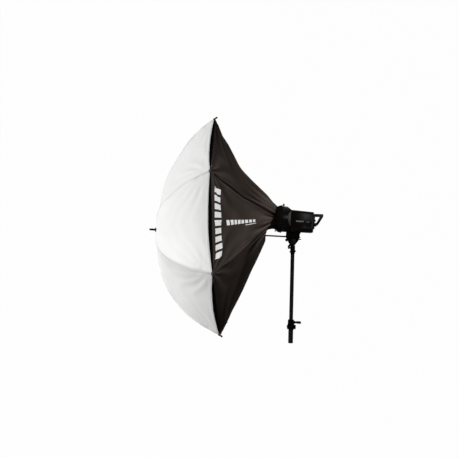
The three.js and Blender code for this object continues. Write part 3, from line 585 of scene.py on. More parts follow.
def rib_weights(g, share):
    """Weights for cloth at gore positions g; share is how much follows the ribs."""
    g = np.asarray(g, float)
    share = np.broadcast_to(share, g.shape).ravel()
    gore, f = split_gore(g.ravel())
    weights = np.zeros((len(gore), 9))
    rows = np.arange(len(gore))
    weights[rows, 1 + gore] += (1 - f) * share
    weights[rows, 1 + (gore + 1) % 8] += f * share
    weights[:, 0] = 1 - share
    return weights


def body_weights(count, column):
    """All weight on one of FABRIC_BODIES."""
    weights = np.zeros((count, 9))
    weights[:, column] = 1
    return weights


def skin(ob, weights):
    """weights is (vertices, 9), columns as FABRIC_BODIES."""
    for column, body in enumerate(FABRIC_BODIES):
        group = ob.vertex_groups.new(name=body)
        w = weights[:, column]
        for i in np.nonzero(w > 1e-4)[0]:
            group.add([int(i)], float(w[i]), "REPLACE")
    modifier = ob.modifiers.new("fabric_rig", "ARMATURE")
    modifier.object = RIG
    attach(ob, "umbrella")


def finish_cloth(ob, weights, thickness, painted_shading=None, inner=0, offset=-1, replaces=None):
    """Rig, shade and thicken a sheet. thickness in metres, inner the back's material offset.

    The painted shading goes to the cloth materials as an attribute: negative, a painted shade, in
    the folds; positive, a painted highlight, on the ridges.
    """
    skin(ob, weights)
    if painted_shading is not None:
        attribute = ob.data.attributes.new("painted_shading", "FLOAT", "POINT")
        attribute.data.foreach_set("value", np.asarray(painted_shading, np.float32).ravel())
    thick = ob.modifiers.new("thick", "SOLIDIFY")
    thick.thickness = thickness
    thick.offset = offset
    thick.material_offset = inner
    thick.material_offset_rim = 0
    thick.use_even_offset = False
    if replaces:
        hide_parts(replaces)


# ------------------------------------------------------------------ cloth surfaces (mm)
def split_gore(g):
    """Gore number 0 to 7 and the place across it, 0 to 1."""
    return np.floor(g).astype(int) % 8, g - np.floor(g)


def azimuth(g):
    return np.radians(22.5 + 45 * g)


def depth(r):
    """Distance behind the crown at rib radius r."""
    u = r / RIM_R
    return DOME * (0.25 * u + 0.75 * u ** 3)


def flex(p):
    """Let the outer part of the dome sag about the crown."""
    d = p - np.array([CROWN_X, 0, 0])
    w = rise(np.linalg.norm(d, axis=-1) / SPAN, SAG_START, 1)
    c, s = math.cos(SAG), math.sin(SAG)
    x, z = d[..., 0], d[..., 2]
    turned = np.stack([x * c - z * s, d[..., 1], z * c + x * s], -1)
    return p + (turned - d) * w[..., None]


def fullness(r, a):
    """Extra fullness of the dome along its normal: near the rim, and over the upper half."""
    u = r / RIM_R
    near_rim = np.sin(pi * np.clip((u - 0.7) / 0.3, 0, 1))
    over_top = np.maximum(0, np.sin(a)) * np.sin(pi * np.clip(u - 0.04, 0, 1)) ** 2
    return 6.5 * near_rim + 17 * over_top


def chord(r, g, out=0.0, shift=0.0):
    """Dome point on the straight line between ribs, moved out along the normal and shift in x."""
    gore, f = split_gore(g)
    point = 0
    for rib, weight in ((gore, 1 - f), ((gore + 1) % 8, f)):
        a = azimuth(rib)
        k = fullness(r, a) + out
        q = r + 0.66 * k
        x = CROWN_X + depth(r) + shift - 0.75 * k
        point = point + np.stack([x, q * np.cos(a), q * np.sin(a)], -1) * weight[..., None]
    return flex(point)


def fan(angle, radius, seam, folds, phase, decay, start, clear):
    """Folds fanning from a rim corner, dying off over decay mm.

    They grow over the radii start, and over the distances clear from the seam.
    """
    swing = np.sin(angle * folds + phase) * np.exp(-radius / decay)
    return swing * rise(radius, *start) * rise(seam, *clear)


def canopy_folds(v, g):
    """Fold height (mm), painted shading and rib radius (mm) of the white cloth."""
    v, g = np.broadcast_arrays(np.asarray(v, float), np.asarray(g, float))
    gore, f = split_gore(g)
    edge = 1 - SCALLOP * 4 * f * (1 - f)
    u = np.where(v <= 1, v * edge, edge + (v - 1) * (1 - edge))
    across = np.sin(pi * f)
    seam = np.minimum(f, 1 - f) * RIM_GORE * u
    to_rim = (1 - u) * RIM_R
    # taut gores pull in a little between the ribs
    belly = -3.4 * across ** 1.2 * np.sin(pi * np.clip(u, 0, 1)) ** 0.8
    # folds fan out from the corners
    radius = np.hypot(seam, to_rim * 1.1)
    angle = np.arctan2(seam, to_rim + 3.0)
    side = np.where(f < 0.5, 1.0, -1.0)
    broad = fan(angle, radius, seam, folds=17, decay=105, start=(8, 46), clear=(1.5, 14),
                phase=1.7 * gore + 0.8 * side + 0.7 * np.sin(radius / 23)) * rise(to_rim, 1, 26)
    narrow = fan(angle, radius, seam, folds=31, decay=60, start=(8, 34), clear=(1.5, 10),
                 phase=0.9 * gore) * rise(to_rim, 1, 18)
    # puckers along the edge, ripples over the cloth and folds round the crown
    pucker = 0.55 * np.sin(f * 150 + gore) * np.exp(-((1 - u) / 0.018)) * across
    fine = 0.8 * wave(g * 9, u * 14, 5, 4) * across * rise(u, 0.1, 0.5)
    soft = wave(g * 4.3, u * 5, 15, 3) * across * rise(u, 0.15, 0.5) * (1 - rise(u, 0.92, 1))
    crown = wave(f * 30 + 5 * gore, u * 2.0, 23, 3) * np.exp(-u / 0.22) * rise(u, 0.02, 0.08)
    groove = -1.3 * ridge(seam, 5.5) * rise(u, 0.05, 0.2)
    height = belly + 5.6 * broad + 2.6 * narrow + pucker + fine + 1.5 * soft + crown + groove
    # painted shading: painted highlights on the fold ridges, painted shade in the folds and along
    # the seams
    painted_shading = (0.075 * broad + 0.045 * narrow + 0.012 * soft
            - 0.10 * ridge(seam, 3.4) * rise(u, 0.1, 0.35))
    # painted shade on the -y side gore: darker in its upper part and along the rim
    shaded = 0.055 * (1 - rise(f, 0.45, 0.85)) * rise(u, 0.35, 0.8) + 0.07 * rise(u, 0.86, 1.0)
    painted_shading = painted_shading - np.where(gore == 3, shaded, 0.0)
    # and on the gore below it, darkest by the seam they share
    shaded = (0.075 + 0.10 * (1 - rise(f, 0.04, 0.4))) * rise(u, 0.3, 0.62)
    painted_shading = painted_shading - np.where(gore == 4, shaded, 0.0)
    return height, painted_shading, CROWN_R + (RIM_R - CROWN_R) * u


def canopy_point(v, g, lift=0.0, shift=0.0):
    """v is 0 at the crown, 1 at the scalloped edge and 2 at the straight rim."""
    height, _, r = canopy_folds(v, g)
    return chord(r, np.broadcast_to(np.asarray(g, float), r.shape), height + lift, shift)


def crown_share(v):
    """How much the canopy follows the ribs."""
    return rise(v, 0.01, 0.07)


def end_shift(a):
    """How far the tied end is pulled back over the head."""
    k = np.sin(a)
    x = 11.0 * rise(k, -0.9, 0.05) - 3.0 * rise(k, 0.3, 0.9)
    return np.stack([x, 0 * x, 0.12 * x], -1)


def opening(a, r):
    """Point on the tilted circle of the tied end."""
    a = np.asarray(a)
    across = r * np.cos(a)[..., None] * np.array([0, 1.0, 0])
    return np.array([OPEN_X, 0, OPEN_Z]) + across + r * np.sin(a)[..., None] * OPEN_UP


def bell_radius(x):
    return np.interp(x, BELL_X, BELL_RADII)


def cover_folds(t, g):
    """Fold height (mm) and painted shading of the cover; arguments as cover_point."""
    a = azimuth(g)
    gore, f = split_gore(g)
    side = np.where(f < 0.5, 1.0, -1.0)
    seam = np.minimum(f, 1 - f) * (RIM_GORE * (1 - t) + TIED_GORE * t)
    # the upper ribs' seams sit in a deep tuck; a soft ridge runs along the lower ones
    rib = np.round(g).astype(int) % 8
    upper = np.where(np.isin(rib, (0, 1, 2, 3)), 1.0, 0.0)
    lower = 1 - upper
    along = rise(t, 0.07, 0.2) * (1 - 0.25 * rise(t, 0.85, 1.0))
    crease = -(13.5 * upper + 2.0 * lower) * ridge(seam, 4.6) * along
    shoulder = ((5.2 * upper + 3.0) * ridge(seam - 15, 8.5) * rise(t, 0.10, 0.3)
                * (1 - rise(t, 0.8, 0.97)))
    rib_ridge = 2.6 * lower * ridge(seam, 7.0) * rise(t, 0.05, 0.3)
    # pleats of three widths run out of the tied end
    phase = a * 19 + 2.0 * np.sin(a * 5 + 1.0) + 0.6 * np.sin(t * 7 + 3 * a)
    medium = np.sin(phase + 0.55 * np.sin(phase))
    small = np.sin(a * 37 + 1.3 * np.sin(a * 7) + 0.5 * np.sin(9 * t))
    large = np.sin(a * 9 + 1.1 * np.sin(a * 4 + 0.4) + 1.7)
    pleat = 6.4 * rise(t, 0.42, 0.97) * medium + 2.2 * rise(t, 0.7, 1.0) * small
    pleat = pleat + 5.0 * rise(t, 0.15, 0.8) * large * (1 - 0.5 * rise(t, 0.85, 1.0))
    pleat = pleat * (1 - 0.75 * rise(t, 0.965, 1.0))
    swell = (3.4 * rise(t, 0.2, 0.75) * np.sin(pi * np.clip(t, 0, 1))
             * wave(a * 7, t * 2.0, 41, 4))
    # tension folds fan out from each corner of the rim
    from_rim = t * 480.0
    radius = np.hypot(seam, from_rim)
    angle = np.arctan2(seam, from_rim + 2.0)
    broad = fan(angle, radius, seam, folds=11, decay=120, start=(6, 36), clear=(2, 12),
                phase=1.9 * gore + 0.9 * side + 0.8 * np.sin(radius / 31))
    narrow = fan(angle, radius, seam, folds=21, decay=60, start=(8, 28), clear=(2, 10),
                 phase=0.7 * gore)
    # slack between the ribs, fine ripples and a puckered hem
    drape = wave(g * 2.6 + 2 * t, t * 4.0, 77, 4)
    slack = 5.0 * drape * np.sin(pi * t) ** 0.8 * np.sin(pi * f) ** 0.7
    fine = 1.2 * wave(g * 13, t * 17, 99, 3) * np.sin(pi * t) ** 0.6 * np.sin(pi * f) ** 0.5
    hem = 0.5 * np.sin(f * 140 + 2 * gore) * np.exp(-t / 0.02) * np.sin(pi * f)
    height = (crease + shoulder + rib_ridge + pleat + swell + 7.0 * broad + 2.6 * narrow
              + slack + fine + hem)

    # painted shading that follows the folds: painted shade in the tucks, painted highlights on the
    # shoulders, lower ridges, pleats and fans, lighter toward the tied end
    tucks = (-1.5 * upper * ridge(seam, 7.2) * rise(t, 0.12, 0.22)
             + 0.30 * ridge(seam - 15, 8) * along)
    ridges = 0.80 * lower * ridge(seam - 2, 7.0) * rise(t, 0.03, 0.2) * (1 - rise(t, 0.75, 1.0))
    pleats = (1.25 * rise(t, 0.52, 0.9) * medium + 0.60 * rise(t, 0.70, 0.93) * small
              + 0.30 * rise(t, 0.3, 0.8) * large + 0.55 * rise(t, 0.58, 0.92))
    fans = 0.75 * broad + 0.35 * narrow + 0.16 * drape * np.sin(pi * t)
    # painted shade in a strip on the lower side of the lower ribs
    below_rib = np.sin(a) < np.sin(azimuth(np.round(g)))
    under = (0.85 * lower * ridge(seam - 13, 5.5) * below_rib * rise(t, 0.06, 0.2)
             * (1 - rise(t, 0.8, 1.0)))
    # painted shade where the cloth goes into the tied end
    painted_shading = tucks + ridges + pleats + fans - 0.7 * rise(t, 0.975, 1.0) - under
    # painted shade: the upper and lower panels are darker, most of all behind the rim, and every
    # panel is darker in a thin strip along the rim
    low = rise(-np.sin(a), 0.30, 0.92)
    high = rise(np.sin(a), 0.40, 0.95)
    level = 1 - 0.62 * low - 0.42 * high * (1 - 0.75 * rise(t, 0.25, 0.8))
    level = level * (0.35 + 0.65 * rise(t, 0.002, 0.018))
    level = level * (1 - 0.50 * np.clip(low + high, 0, 1) * (1 - rise(t, 0.03, 0.17)))
    # the material turns the painted shading s into a brightness of 1 + k * s, k being the cover's
    # shading strength
    return height, level * (1 + COVER_PAINTED_SHADING * painted_shading) / COVER_PAINTED_SHADING - 1 / COVER_PAINTED_SHADING


def cover_point(t, g, lift=0.0):
    """t is 0 at the rim and 1 at the tied opening."""
    t, g = np.broadcast_arrays(np.asarray(t, float), np.asarray(g, float))
    a = azimuth(g)
    rim = chord(RIM_R, g, shift=1.0 + 1.6 * rise(t, 0, 0.12))
    run = opening(a, OPEN_R) + end_shift(a) - rim
    straight = rim + run * t[..., None]
    # outward normal, square to the run from rim to opening
    out = np.stack([0 * a, np.cos(a), np.sin(a)], -1)
    along = run / np.linalg.norm(run, axis=-1, keepdims=True)
    normal = out - along * (out * along).sum(-1, keepdims=True)
    normal /= np.linalg.norm(normal, axis=-1, keepdims=True)
    # the top hangs in, the underside bellies out
    tent = 1 - np.sqrt((2 * t - 1) ** 2 + 0.004)
    hang = 0.6 * tent + 1.6 * t * (1 - t)
    belly = (12 * np.power(0.5 - 0.5 * np.sin(a), 1.2) * rise(t, 0, 0.45)
             * (1 - rise(t, 0.93, 1)))
    sag = 48 * np.power(0.5 + 0.5 * np.sin(a), 1.5) * hang - belly
    off = -sag + cover_folds(t, g)[0] + lift
    q = straight + normal * off[..., None]
    # the tied end lies over the rounded front of the bell, outside the cuff, never inside them
    x, y, z = q[..., 0], q[..., 1], q[..., 2] - BELL_Z
    least = np.where(x > -99.5, bell_radius(x) + 3.4, 0.0)
    k = np.maximum(1.0, least / np.maximum(np.hypot(y, z), 1e-6))
    return np.stack([x, y * k, BELL_Z + z * k], -1)


def cover_share(t):
    """How much the cover follows the ribs."""
    return 1 - rise(t, 0.0, 1.0)


def beside_seam(rib, t, offset):
    """Gore position offset mm beside a rib's line on the cover."""
    return (rib + offset / (RIM_GORE * (1 - t) + TIED_SEAM_GORE * t)) % 8


# ------------------------------------------------------------------ canopy
CANOPY_G = np.arange(8 * GORE_COLS) / GORE_COLS
CANOPY_U = np.arange(8 * GORE_COLS + 1) / GORE_COLS * GORE_UV


def canopy_cloth():
    v = np.linspace(0, 1, 96) ** 0.92
    rows, around = np.meshgrid(v, CANOPY_G, indexing="ij")
    cloth = grid_object("canopy_cloth", canopy_point(rows, around), CANOPY_U, v * CANOPY_UV,
                        [WHITE])
    # the canopy carries the painted shading of canopy_folds as an attribute
    finish_cloth(cloth, rib_weights(around, crown_share(rows)), 0.0006,
                 painted_shading=canopy_folds(rows, around)[1], replaces="front_canopy")


def rim_band():
    """Black band between the scalloped white edge and the straight rim, its cloth painted darker
    than the cover's as shade.
    """
    v = np.array([1.0, 1.12, 1.3, 1.5, 1.7, 1.86, 1.96, 2.0])
    rows, around = np.meshgrid(v, CANOPY_G, indexing="ij")
    band = grid_object("rim_band", canopy_point(rows, around), CANOPY_U, v * 0.02, [BAND])
    finish_cloth(band, rib_weights(around, 1.0), 0.0006)


def edge_cord(name, v, radius, material, lift, shift):
    """Cord round the canopy at v; radius in metres."""
    cord = closed_tube(name, canopy_point(v, CANOPY_G, lift, shift), radius, material)
    skin(cord, rib_weights(np.repeat(CANOPY_G, TUBE_SIDES), 1.0))


def canopy_seam(rib):
    """Raised seam of the canopy over a rib."""
    offsets = np.array([-3.2, -2.2, 0, 2.2, 3.2])
    inner = abs(offsets) < 3
    v = np.linspace(0.05, 0.985, 60)
    rows = v[:, None]
    g = rib + offsets / ((CROWN_R + (RIM_R - CROWN_R) * rows) * GORE_ARC)
    points = canopy_point(rows, g, np.where(inner, 0.95, 0.25))
    seam = grid_object(f"canopy_seam_{rib + 1}", points, np.arange(5) * 0.0015, v * CANOPY_UV,
                       [WHITE], closed=False, flip=False)
    # painted shading as on the cloth on its lower side, with painted shade along the seam's edges
    beside = 0.02 if 2 <= rib <= 5 else -0.02
    painted_shading = canopy_folds(rows, rib + beside)[1] - np.where(inner, 0.02, 0.14)
    finish_cloth(seam, rib_weights(g, crown_share(rows)), 0.0003, painted_shading=painted_shading)


def crown_patch():
    v = np.linspace(0.0, 0.075, 8)
    rows, around = np.meshgrid(v, np.arange(64) / 8, indexing="ij")
    points = canopy_point(rows, around, np.where(rows > 0.074, 0.2, 0.9))
    patch = grid_object("crown_patch", points, np.arange(65) * 0.004, v * CANOPY_UV, [WHITE])
    finish_cloth(patch, rib_weights(around, crown_share(rows)), 0.0004)


canopy_cloth()
rim_band()
edge_cord("canopy_hem", 1.0, 0.0011, WHITE, lift=0.4, shift=0.0)
# the rim binding wears the band's cloth with its painted shade
edge_cord("rim_binding", 2.0, 0.0021, BAND, lift=0.3, shift=0.6)
for rib in range(8):
    canopy_seam(rib)
crown_patch()

# ------------------------------------------------------------------ cover
BOTTOM_G = 5.5                  # middle of the bottom gore


def cut_shaft_slit(cloth):
    """Open a slit where the shaft leaves the cover; sizes in metres."""
    half_width, half_height, front_x = 0.0085, 0.0075, -0.19
    hole_z = world([-150, 0, 0])[2]
    bm = bmesh.new()
    bm.from_mesh(cloth.data)
    cut = []
    for face in bm.faces:
        x, y, z = face.calc_center_median()
        if abs(y) < half_width and abs(z - hole_z) < half_height and x > front_x:
            cut.append(face)
    bmesh.ops.delete(bm, geom=cut, context="FACES")
    bm.to_mesh(cloth.data)
    bm.free()


def cover_cloth():
    # columns crowd toward the ribs
    f = np.arange(COVER_COLS) / COVER_COLS
    f = f - 0.6 * np.sin(2 * pi * f) / (2 * pi)
    g = (np.arange(8)[:, None] + f[None, :]).ravel()
    t = np.concatenate([np.linspace(0, 0.12, 17)[:-1], np.linspace(0.12, 1, 100)])
    rows, around = np.meshgrid(t, g, indexing="ij")
    points = cover_point(rows, around)
    cloth = grid_object("cover_cloth", points, np.append(g, 8) * GORE_UV, t * COVER_UV,
                        [COVER, LINING])
    cut_shaft_slit(cloth)
    # match the vertices left to their places in the full grid
    full = world(points).reshape(-1, 3)
    tree = KDTree(len(full))
    for i, q in enumerate(full):
        tree.insert(q, i)
    tree.balance()
    kept = np.array([tree.find(vertex.co)[1] for vertex in cloth.data.vertices])
    weights = rib_weights(around.ravel()[kept], cover_share(rows.ravel()[kept]))
    # the cover carries the painted shading of cover_folds as an attribute
    finish_cloth(cloth, weights, 0.0008, inner=1, replaces="rear_cover",
                 painted_shading=cover_folds(rows, around)[1].ravel()[kept])


def shaft_slit_binding():
    """Cord on the bottom gore near the slit, following an oval as nearly as the cloth allows."""
    count, half_width, half_height = 28, 9.5, 8.5
    t = np.linspace(0.93, 1.0, 80)
    points = []
    for k in range(count):
        a = 2 * pi * k / count
        g = BOTTOM_G + half_width * math.cos(a) / (GORE_ARC * 150)
        q = cover_point(t, g, 0.6)
        points.append(q[np.argmin(abs(q[:, 2] - half_height * math.sin(a)))])
    cord = closed_tube("shaft_slit_binding", points, 0.0016, CUFF)
    skin(cord, body_weights(count * TUBE_SIDES, 0))


def stitches(name, runs, material):
    """Rows of raised beads. A run is (starts, ends, points above the starts, weights), in mm."""
    # rings of a bead: place along it, radius, height over the cloth
    rings = ((0.0, 0.12, 0.15), (0.25, 0.42, 0.4), (0.75, 0.42, 0.4), (1.0, 0.12, 0.15))
    sides = 5
    vertices, faces, weights = [], [], []
    for run in runs:
        for start, end, above, weight in zip(*run):
            normal = (above - start) / np.linalg.norm(above - start)
            side = np.cross(end - start, normal)
            side /= np.linalg.norm(side)
            base = len(vertices)
            for place, radius, height in rings:
                center = start + (end - start) * place + normal * height
                for k in range(sides):
                    a = 2 * pi * k / sides
                    offset = side * radius * math.cos(a) + normal * radius * 0.8 * math.sin(a)
                    vertices.append(center + offset)
                    weights.append(weight)
            for i in range(len(rings) - 1):
                a, b = base + i * sides, base + (i + 1) * sides
                for k in range(sides):
                    k2 = (k + 1) % sides
                    faces.append((a + k, b + k, b + k2, a + k2))
            last = base + (len(rings) - 1) * sides
            faces.append(tuple(range(base, base + sides)))
            faces.append(tuple(range(last, last + sides))[::-1])
    mesh = make_mesh(name, world(vertices), faces, [material])
    face_outward(mesh)
    ob = link_object(name, mesh)
    skin(ob, np.array(weights))


def cover_seam(rib):
    """Flat-felled seam on the cover along a rib's line."""
    offsets = np.array([-4.2, -3.4, -1.6, 0, 1.6, 3.4, 4.2])
    lifts = np.array([0.1, 1.1, 1.5, 1.5, 1.5, 1.1, 0.1])
    t = np.linspace(0.015, 0.985, 90)
    rows = t[:, None]
    g = beside_seam(rib, rows, offsets)
    # the upper ribs' seams wear the darker cuff cloth, a painted shade standing in for the shade in
    # their tuck
    seam = grid_object(f"cover_seam_{rib + 1}", cover_point(rows, g, lifts),
                       np.arange(7) * 0.0013, t * COVER_UV, [CUFF if rib < 4 else COVER],
                       closed=False)
    # painted shading as on the cover; full-size t, as cover_folds expects matching shapes
    painted_shading = cover_folds(np.broadcast_to(rows, g.shape), g)[1]
    finish_cloth(seam, rib_weights(g, cover_share(rows)), 0.0003, painted_shading=painted_shading)


def cover_stitch_run(rib, offset):
    t = np.arange(0.02, 0.975, 0.0125)
    t_end = t + 0.0075
    g = beside_seam(rib, t, offset)
    return (cover_point(t, g, 1.45),
            cover_point(t_end, beside_seam(rib, t_end, offset), 1.45),
            cover_point(t, g, 3.0),
            rib_weights(g, cover_share(t)))


def hem_stitch_run(v):
    """Stitches along the white hem, left out just before each rib."""
    g = np.arange(0, 8, 0.0145)
    g = g[g % 1 <= 0.985]
    return (canopy_point(v, g, 0.1), canopy_point(v, (g + 0.0085) % 8, 0.1),
            canopy_point(v, g, 1.6), rib_weights(g, 1.0))


def corner_pocket(rib):
    """Pocket that holds a rib's end."""
    count_along, count_across = 11, 13
    f = (np.arange(count_across) / (count_across - 1) - 0.5) * 2
    crown = 1 - f * f
    rows = []
    for i in range(count_along):
        s = i / (count_along - 1)           # 0 on the cover, 1 over the front of the band
        half = 15 * (1 - 0.6 * abs(s - 0.45) / 0.5)
        g = beside_seam(rib, 0, f * half)
        if s < 0.5:
            rows.append(cover_point(0.052 * (0.5 - s) / 0.5, g, 1.7 + 1.2 * crown))
        else:
            r = RIM_R + 1.2 + crown - (s - 0.5) / 0.5 * 5
            rows.append(chord(r, g, 1.0 + crown))
    pocket = grid_object(f"corner_pocket_{rib + 1}", np.array(rows),
                         np.arange(count_across) * 0.004, np.arange(count_along) * 0.004,
                         [COVER], closed=False, flip=False)
    finish_cloth(pocket, body_weights(count_along * count_across, 1 + rib),
                 0.0009)
    soft = pocket.modifiers.new("soft", "SUBSURF")
    soft.levels = soft.render_levels = 1


# reflective bars as (t start, t end, gore start, gore end)
BARS = [(0.045, 0.138, 0.135 + 0.086 * k, 0.135 + 0.086 * k + 0.060) for k in range(9)]
BAR_ROW = [(0.225 + 0.060 * k, 0.225 + 0.060 * k + 0.043, 0.478, 0.548) for k in range(8)]
BAR_ROW.append((0.525, 0.700, 0.578, 0.592))


def reflective_bars(name, specs, gore):
    """Printed bars lying just over the cover."""
    count = 15
    vertices, faces, weights = [], [], []
    for t_start, t_end, g_start, g_end in specs:
        rows, around = np.meshgrid(np.linspace(t_start, t_end, count),
                                   np.linspace(g_start, g_end, count), indexing="ij")
        g = (gore + around) % 8
        base = len(vertices)
        vertices += list(world(cover_point(rows, g, 1.6)).reshape(-1, 3))
        weights.append(rib_weights(g, cover_share(rows)))
        for i in range(count - 1):
            for k in range(count - 1):
                a = base + i * count + k
                faces.append((a, a + 1, a + count + 1, a + count))
    mesh = make_mesh(name, vertices, faces, [PRINT])
    layer = mesh.uv_layers.new(name="UVMap")
    places = [(vertices[loop.vertex_index][0], vertices[loop.vertex_index][2])
              for loop in mesh.loops]
    layer.data.foreach_set("uv", np.array(places, np.float32).ravel())
    mesh.update()
    finish_cloth(link_object(name, mesh), np.concatenate(weights), 0.0002,
                 offset=1)


cover_cloth()
shaft_slit_binding()
for rib in range(8):
    cover_seam(rib)
stitches("cover_stitches",
         [cover_stitch_run(rib, offset) for rib in range(8) for offset in (-2.6, 2.6)],
         THREAD)
stitches("hem_stitches", [hem_stitch_run(v) for v in (0.982, 0.972)],
         WHITE_THREAD)
for rib in range(8):
    corner_pocket(rib)
# the side gores: near faces -y, far faces +y
for side, gore in (("near", 3), ("far", 7)):
    reflective_bars(f"reflective_bars_{side}", BARS, gore)
    reflective_bars(f"reflective_row_{side}", BAR_ROW, gore)

# ------------------------------------------------------------------ cuff
# rings over the bell: x, radius, share of the pleats
CUFF_RINGS = [
    (-98.5, 54.2, 0.4), (-96.0, 58.6, 0.3), (-93.0, 62.2, 0.35), (-89.5, 64.6, 0.5),
    (-85.5, 66.9, 0.6), (-81, 69.0, 0.65), (-76, 70.2, 0.6), (-72, 70.8, 0.55),
    (-68.6, 71.3, 0.7), (-67.8, 72.5, 0.5), (-66.0, 73.0, 0.4), (-64.4, 72.5, 0.5),
    (-63.6, 71.4, 0.6), (-63.9, 70.2, 0.3)]


def cuff_cloth():
    a = np.arange(CUFF_COLS) / CUFF_COLS * 2 * pi

    def bell_ring(x, radius):
        return np.stack([x + 0 * a, radius * np.cos(a), BELL_Z + radius * np.sin(a)], -1)

    # from inside the tied end of the cover to the first ring
    phase = a * 34 + 1.5 * np.sin(a * 5)
    start = opening(a, OPEN_R - 7.0) + np.array([-9.0, 0, 0]) + end_shift(a)
    end = bell_ring(*CUFF_RINGS[0][:2])
    pleats = 1.9 * np.sin(phase) + 0.9 * np.sin(a * 57 + 2)
    rows = []
    for t in np.linspace(0, 1, 16)[:-1]:
        q = start * (1 - t) + end * t
        center = np.array([0, 0, OPEN_Z + (BELL_Z - OPEN_Z) * t])
        radial = (q - center) * np.array([0, 1, 1])
        radial /= np.linalg.norm(radial, axis=1, keepdims=True)
        middle = math.sin(pi * t)
        off = (pleats * 0.9 * rise(t, 0.15, 0.6) + 3.0 * rise(t, 0.05, 0.4) * (1 - t)
               + 2.0 * middle * wave(a * 6, t, 8, 3)
               - 8.0 * middle ** 0.8 * rise(-np.sin(a), 0.15, 0.9))
        rows.append(q + radial * off[:, None])
    # over the bell, never inside its rounded front
    pleats = 1.5 * np.sin(phase) + 0.5 * np.sin(a * 51 + 1)
    for x, radius, share in CUFF_RINGS:
        ring_radius = np.maximum(radius + pleats * share, bell_radius(x) + 0.9)
        ripple = 0.8 * np.sin(a * 9 + 1) if x > -80 else 0
        rows.append(bell_ring(x + ripple, ring_radius))
    points = np.array(rows)
    steps = np.linalg.norm(np.diff(points, axis=0), axis=2).mean(1)
    length = np.concatenate([[0], np.cumsum(steps)]) / 1000
    cuff = grid_object("cuff_cloth", points, np.arange(CUFF_COLS + 1) / CUFF_COLS * 0.45,
                       length, [CUFF, CUFF])
    finish_cloth(cuff, body_weights(len(rows) * CUFF_COLS, 0), 0.0007, inner=1,
                 replaces="rear_sleeve")


cuff_cloth()

# ------------------------------------------------------------------ flash head details
FLANK_Y = 54.0                  # flank of the head from the shaft's plane
LABEL_TOP = 84.5
TICK_X, TICK_PITCH, TICK_WIDTH = 60, 4.6, 1.6


def label_block(name, x_range, y_range, z_range, bevel):
    """Bevelled label block on the head; ranges in mm, bevel in metres."""
    bm = bmesh.new()
    bmesh.ops.create_cube(bm, size=1)
    for vertex in bm.verts:
        vertex.co = world([low + (unit + 0.5) * (high - low) for unit, (low, high)
                           in zip(vertex.co, (x_range, y_range, z_range))])
    bmesh.ops.bevel(bm, geom=bm.edges[:], offset=bevel, segments=3, affect="EDGES", profile=0.7)
    mesh = bpy.data.meshes.new(name)
    bm.to_mesh(mesh)
    bm.free()
    mesh.materials.append(LABEL)
    mesh.polygons.foreach_set("use_smooth", [True] * len(mesh.polygons))
    block = link_object(name, mesh)
    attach(block, "head")


# blank label plates and tick marks on both flanks
for sign, side in ((-1, "near"), (1, "far")):
    flank = sorted((sign * (FLANK_Y - 0.2), sign * (FLANK_Y + 0.5)))
    label_block(f"flank_plate_{side}", (6, 46), flank, (77.5, LABEL_TOP), bevel=0.00018)
    for k in range(4):
        x = TICK_X + TICK_PITCH * k
        label_block(f"flank_tick_{side}_{k + 1}", (x, x + TICK_WIDTH), flank,
                    (76, LABEL_TOP), bevel=0.00012)

# ------------------------------------------------------------------ stage (m)
FLOOR_Z = -0.9
FLOOR_HALF_WIDTH = 12.0
FLOOR_FRONT_Y = -9.0
SWEEP_Y, SWEEP_R, SWEEP_STEPS = 3.2, 3.0, 12    # curve from the floor up to the back wall
WALL_HEIGHT = 9.0


def studio_white():
    """White to the camera; a grey that darkens toward +x to everything else."""
    material, sh = new_material("studio_white")
    noise = sh.noise(1.5, detail=2)
    x = sh.coordinates("Object")["X"]
    fade = sh.ramp(sh.plus(sh.times(x, 0.1), 0.5), (0.40, 1.0), (0.47, 0.35), (0.54, 0.12))
    light = sh.mix(noise, grey(0.68), grey(0.71))
    sh.set_principled({"Base Color": sh.mix(fade, grey(0.06), light), "Roughness": 0.95,
                       "Specular IOR Level": 0.0})
    glow = sh.node("ShaderNodeEmission")
    glow.inputs["Color"].default_value = (1, 1, 1, 1)
    glow.inputs["Strength"].default_value = 1.0
    seen = sh.node("ShaderNodeLightPath").outputs["Is Camera Ray"]
    sh.surface(sh.mix_shaders(sh.times(seen, 0.985), sh.principled().outputs[0],
                              glow.outputs[0]))
    return material


def studio_floor():
    profile = [(FLOOR_FRONT_Y, 0.0), (SWEEP_Y, 0.0)]
    for k in range(1, SWEEP_STEPS + 1):
        a = k / SWEEP_STEPS * pi / 2
        profile.append((SWEEP_Y + SWEEP_R * math.sin(a), SWEEP_R - SWEEP_R * math.cos(a)))
    profile.append((SWEEP_Y + SWEEP_R, WALL_HEIGHT))
    vertices = [(x, y, FLOOR_Z + z) for y, z in profile
                for x in (-FLOOR_HALF_WIDTH, FLOOR_HALF_WIDTH)]
    faces = [(2 * i, 2 * i + 1, 2 * i + 3, 2 * i + 2) for i in range(len(profile) - 1)]
    mesh = make_mesh("studio_floor", vertices, faces, [studio_white()])
    link_object("studio_floor", mesh)


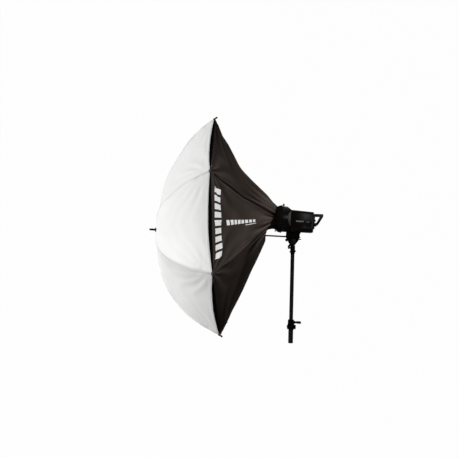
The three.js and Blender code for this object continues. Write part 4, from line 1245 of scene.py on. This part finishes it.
def studio_world():
    """Near white to the camera; a soft sky, dimmer toward -y and +x, to everything else."""
    studio = bpy.data.worlds.new("studio")
    bpy.context.scene.world = studio
    studio.use_nodes = True
    sh = Shader(studio.node_tree)
    direction = sh.coordinates("Generated")

    def along(axis, *stops):
        return sh.ramp(sh.plus(sh.times(direction[axis], 0.5), 0.5), *stops)

    sky = along("Z", (0.0, 0.52), (0.5, 0.68), (1.0, 0.82))
    dim_y = along("Y", (0.0, 0.10), (0.12, 0.16), (0.34, 0.80), (0.5, 1.0), (1.0, 1.0))
    dim_x = along("X", (0.0, 1.0), (0.35, 0.92), (0.62, 0.42), (1.0, 0.30))
    light = sh.tree.nodes["Background"]
    sh.feed(light.inputs["Color"], sh.mix(sh.times(dim_y, dim_x), grey(0), sky))
    light.inputs["Strength"].default_value = 1.02
    backdrop = sh.node("ShaderNodeBackground")
    backdrop.inputs["Color"].default_value = (1, 1, 1, 1)
    backdrop.inputs["Strength"].default_value = 0.99
    seen = sh.node("ShaderNodeLightPath").outputs["Is Camera Ray"]
    sh.surface(sh.mix_shaders(seen, light.outputs[0], backdrop.outputs[0]), "World Output")


def area_light(name, location, target, size, power):
    light = bpy.data.lights.new(name, "AREA")
    light.energy = power
    light.size = size
    ob = link_object(name, light)
    ob.location = location
    aim = Vector(target) - Vector(location)
    ob.rotation_euler = aim.to_track_quat("-Z", "Y").to_euler()


def place_camera():
    distance = 2.5178
    turn, climb, roll = (math.radians(angle) for angle in (2.922, -2.481, 1.654))
    target = Vector((-0.33867, 0, 0.58719))
    data = bpy.data.cameras.new("camera")
    camera = link_object("camera", data)
    data.sensor_width = 36
    data.sensor_fit = "HORIZONTAL"
    data.lens = 37.24978166
    data.clip_start = 0.05
    data.clip_end = 100
    back = Vector((math.sin(turn) * math.cos(climb), -math.cos(turn) * math.cos(climb),
                   math.sin(climb)))
    right = (-back).cross(Vector((0, 0, 1))).normalized()
    up = right.cross(-back)
    rolled_right = right * math.cos(roll) + up * math.sin(roll)
    rolled_up = -right * math.sin(roll) + up * math.cos(roll)
    rotation = Matrix((rolled_right, rolled_up, back)).transposed()
    camera.matrix_world = Matrix.Translation(target + back * distance) @ rotation.to_4x4()
    bpy.context.scene.camera = camera


studio_floor()
studio_world()
area_light("key_soft", (-3.7, -1.3, 1.1), (-0.45, 0, 0.6), size=1.3, power=68)
area_light("fill_soft", (0.9, -3.0, 1.5), (-0.2, 0, 0.55), size=0.8, power=24)
area_light("right_soft", (3.2, -0.9, 1.3), (0.0, 0, 0.6), size=0.8, power=12)
area_light("back_soft", (0.4, 2.9, 2.2), (-0.3, 0, 0.6), size=1.8, power=10)
area_light("bounce", (-1.6, -1.3, -0.75), (-0.5, 0, 0.3), size=1.2, power=11.5)
place_camera()
bpy.context.scene.view_settings.view_transform = "Standard"
bpy.context.scene.view_settings.look = "None"

bpy.context.view_layer.update()
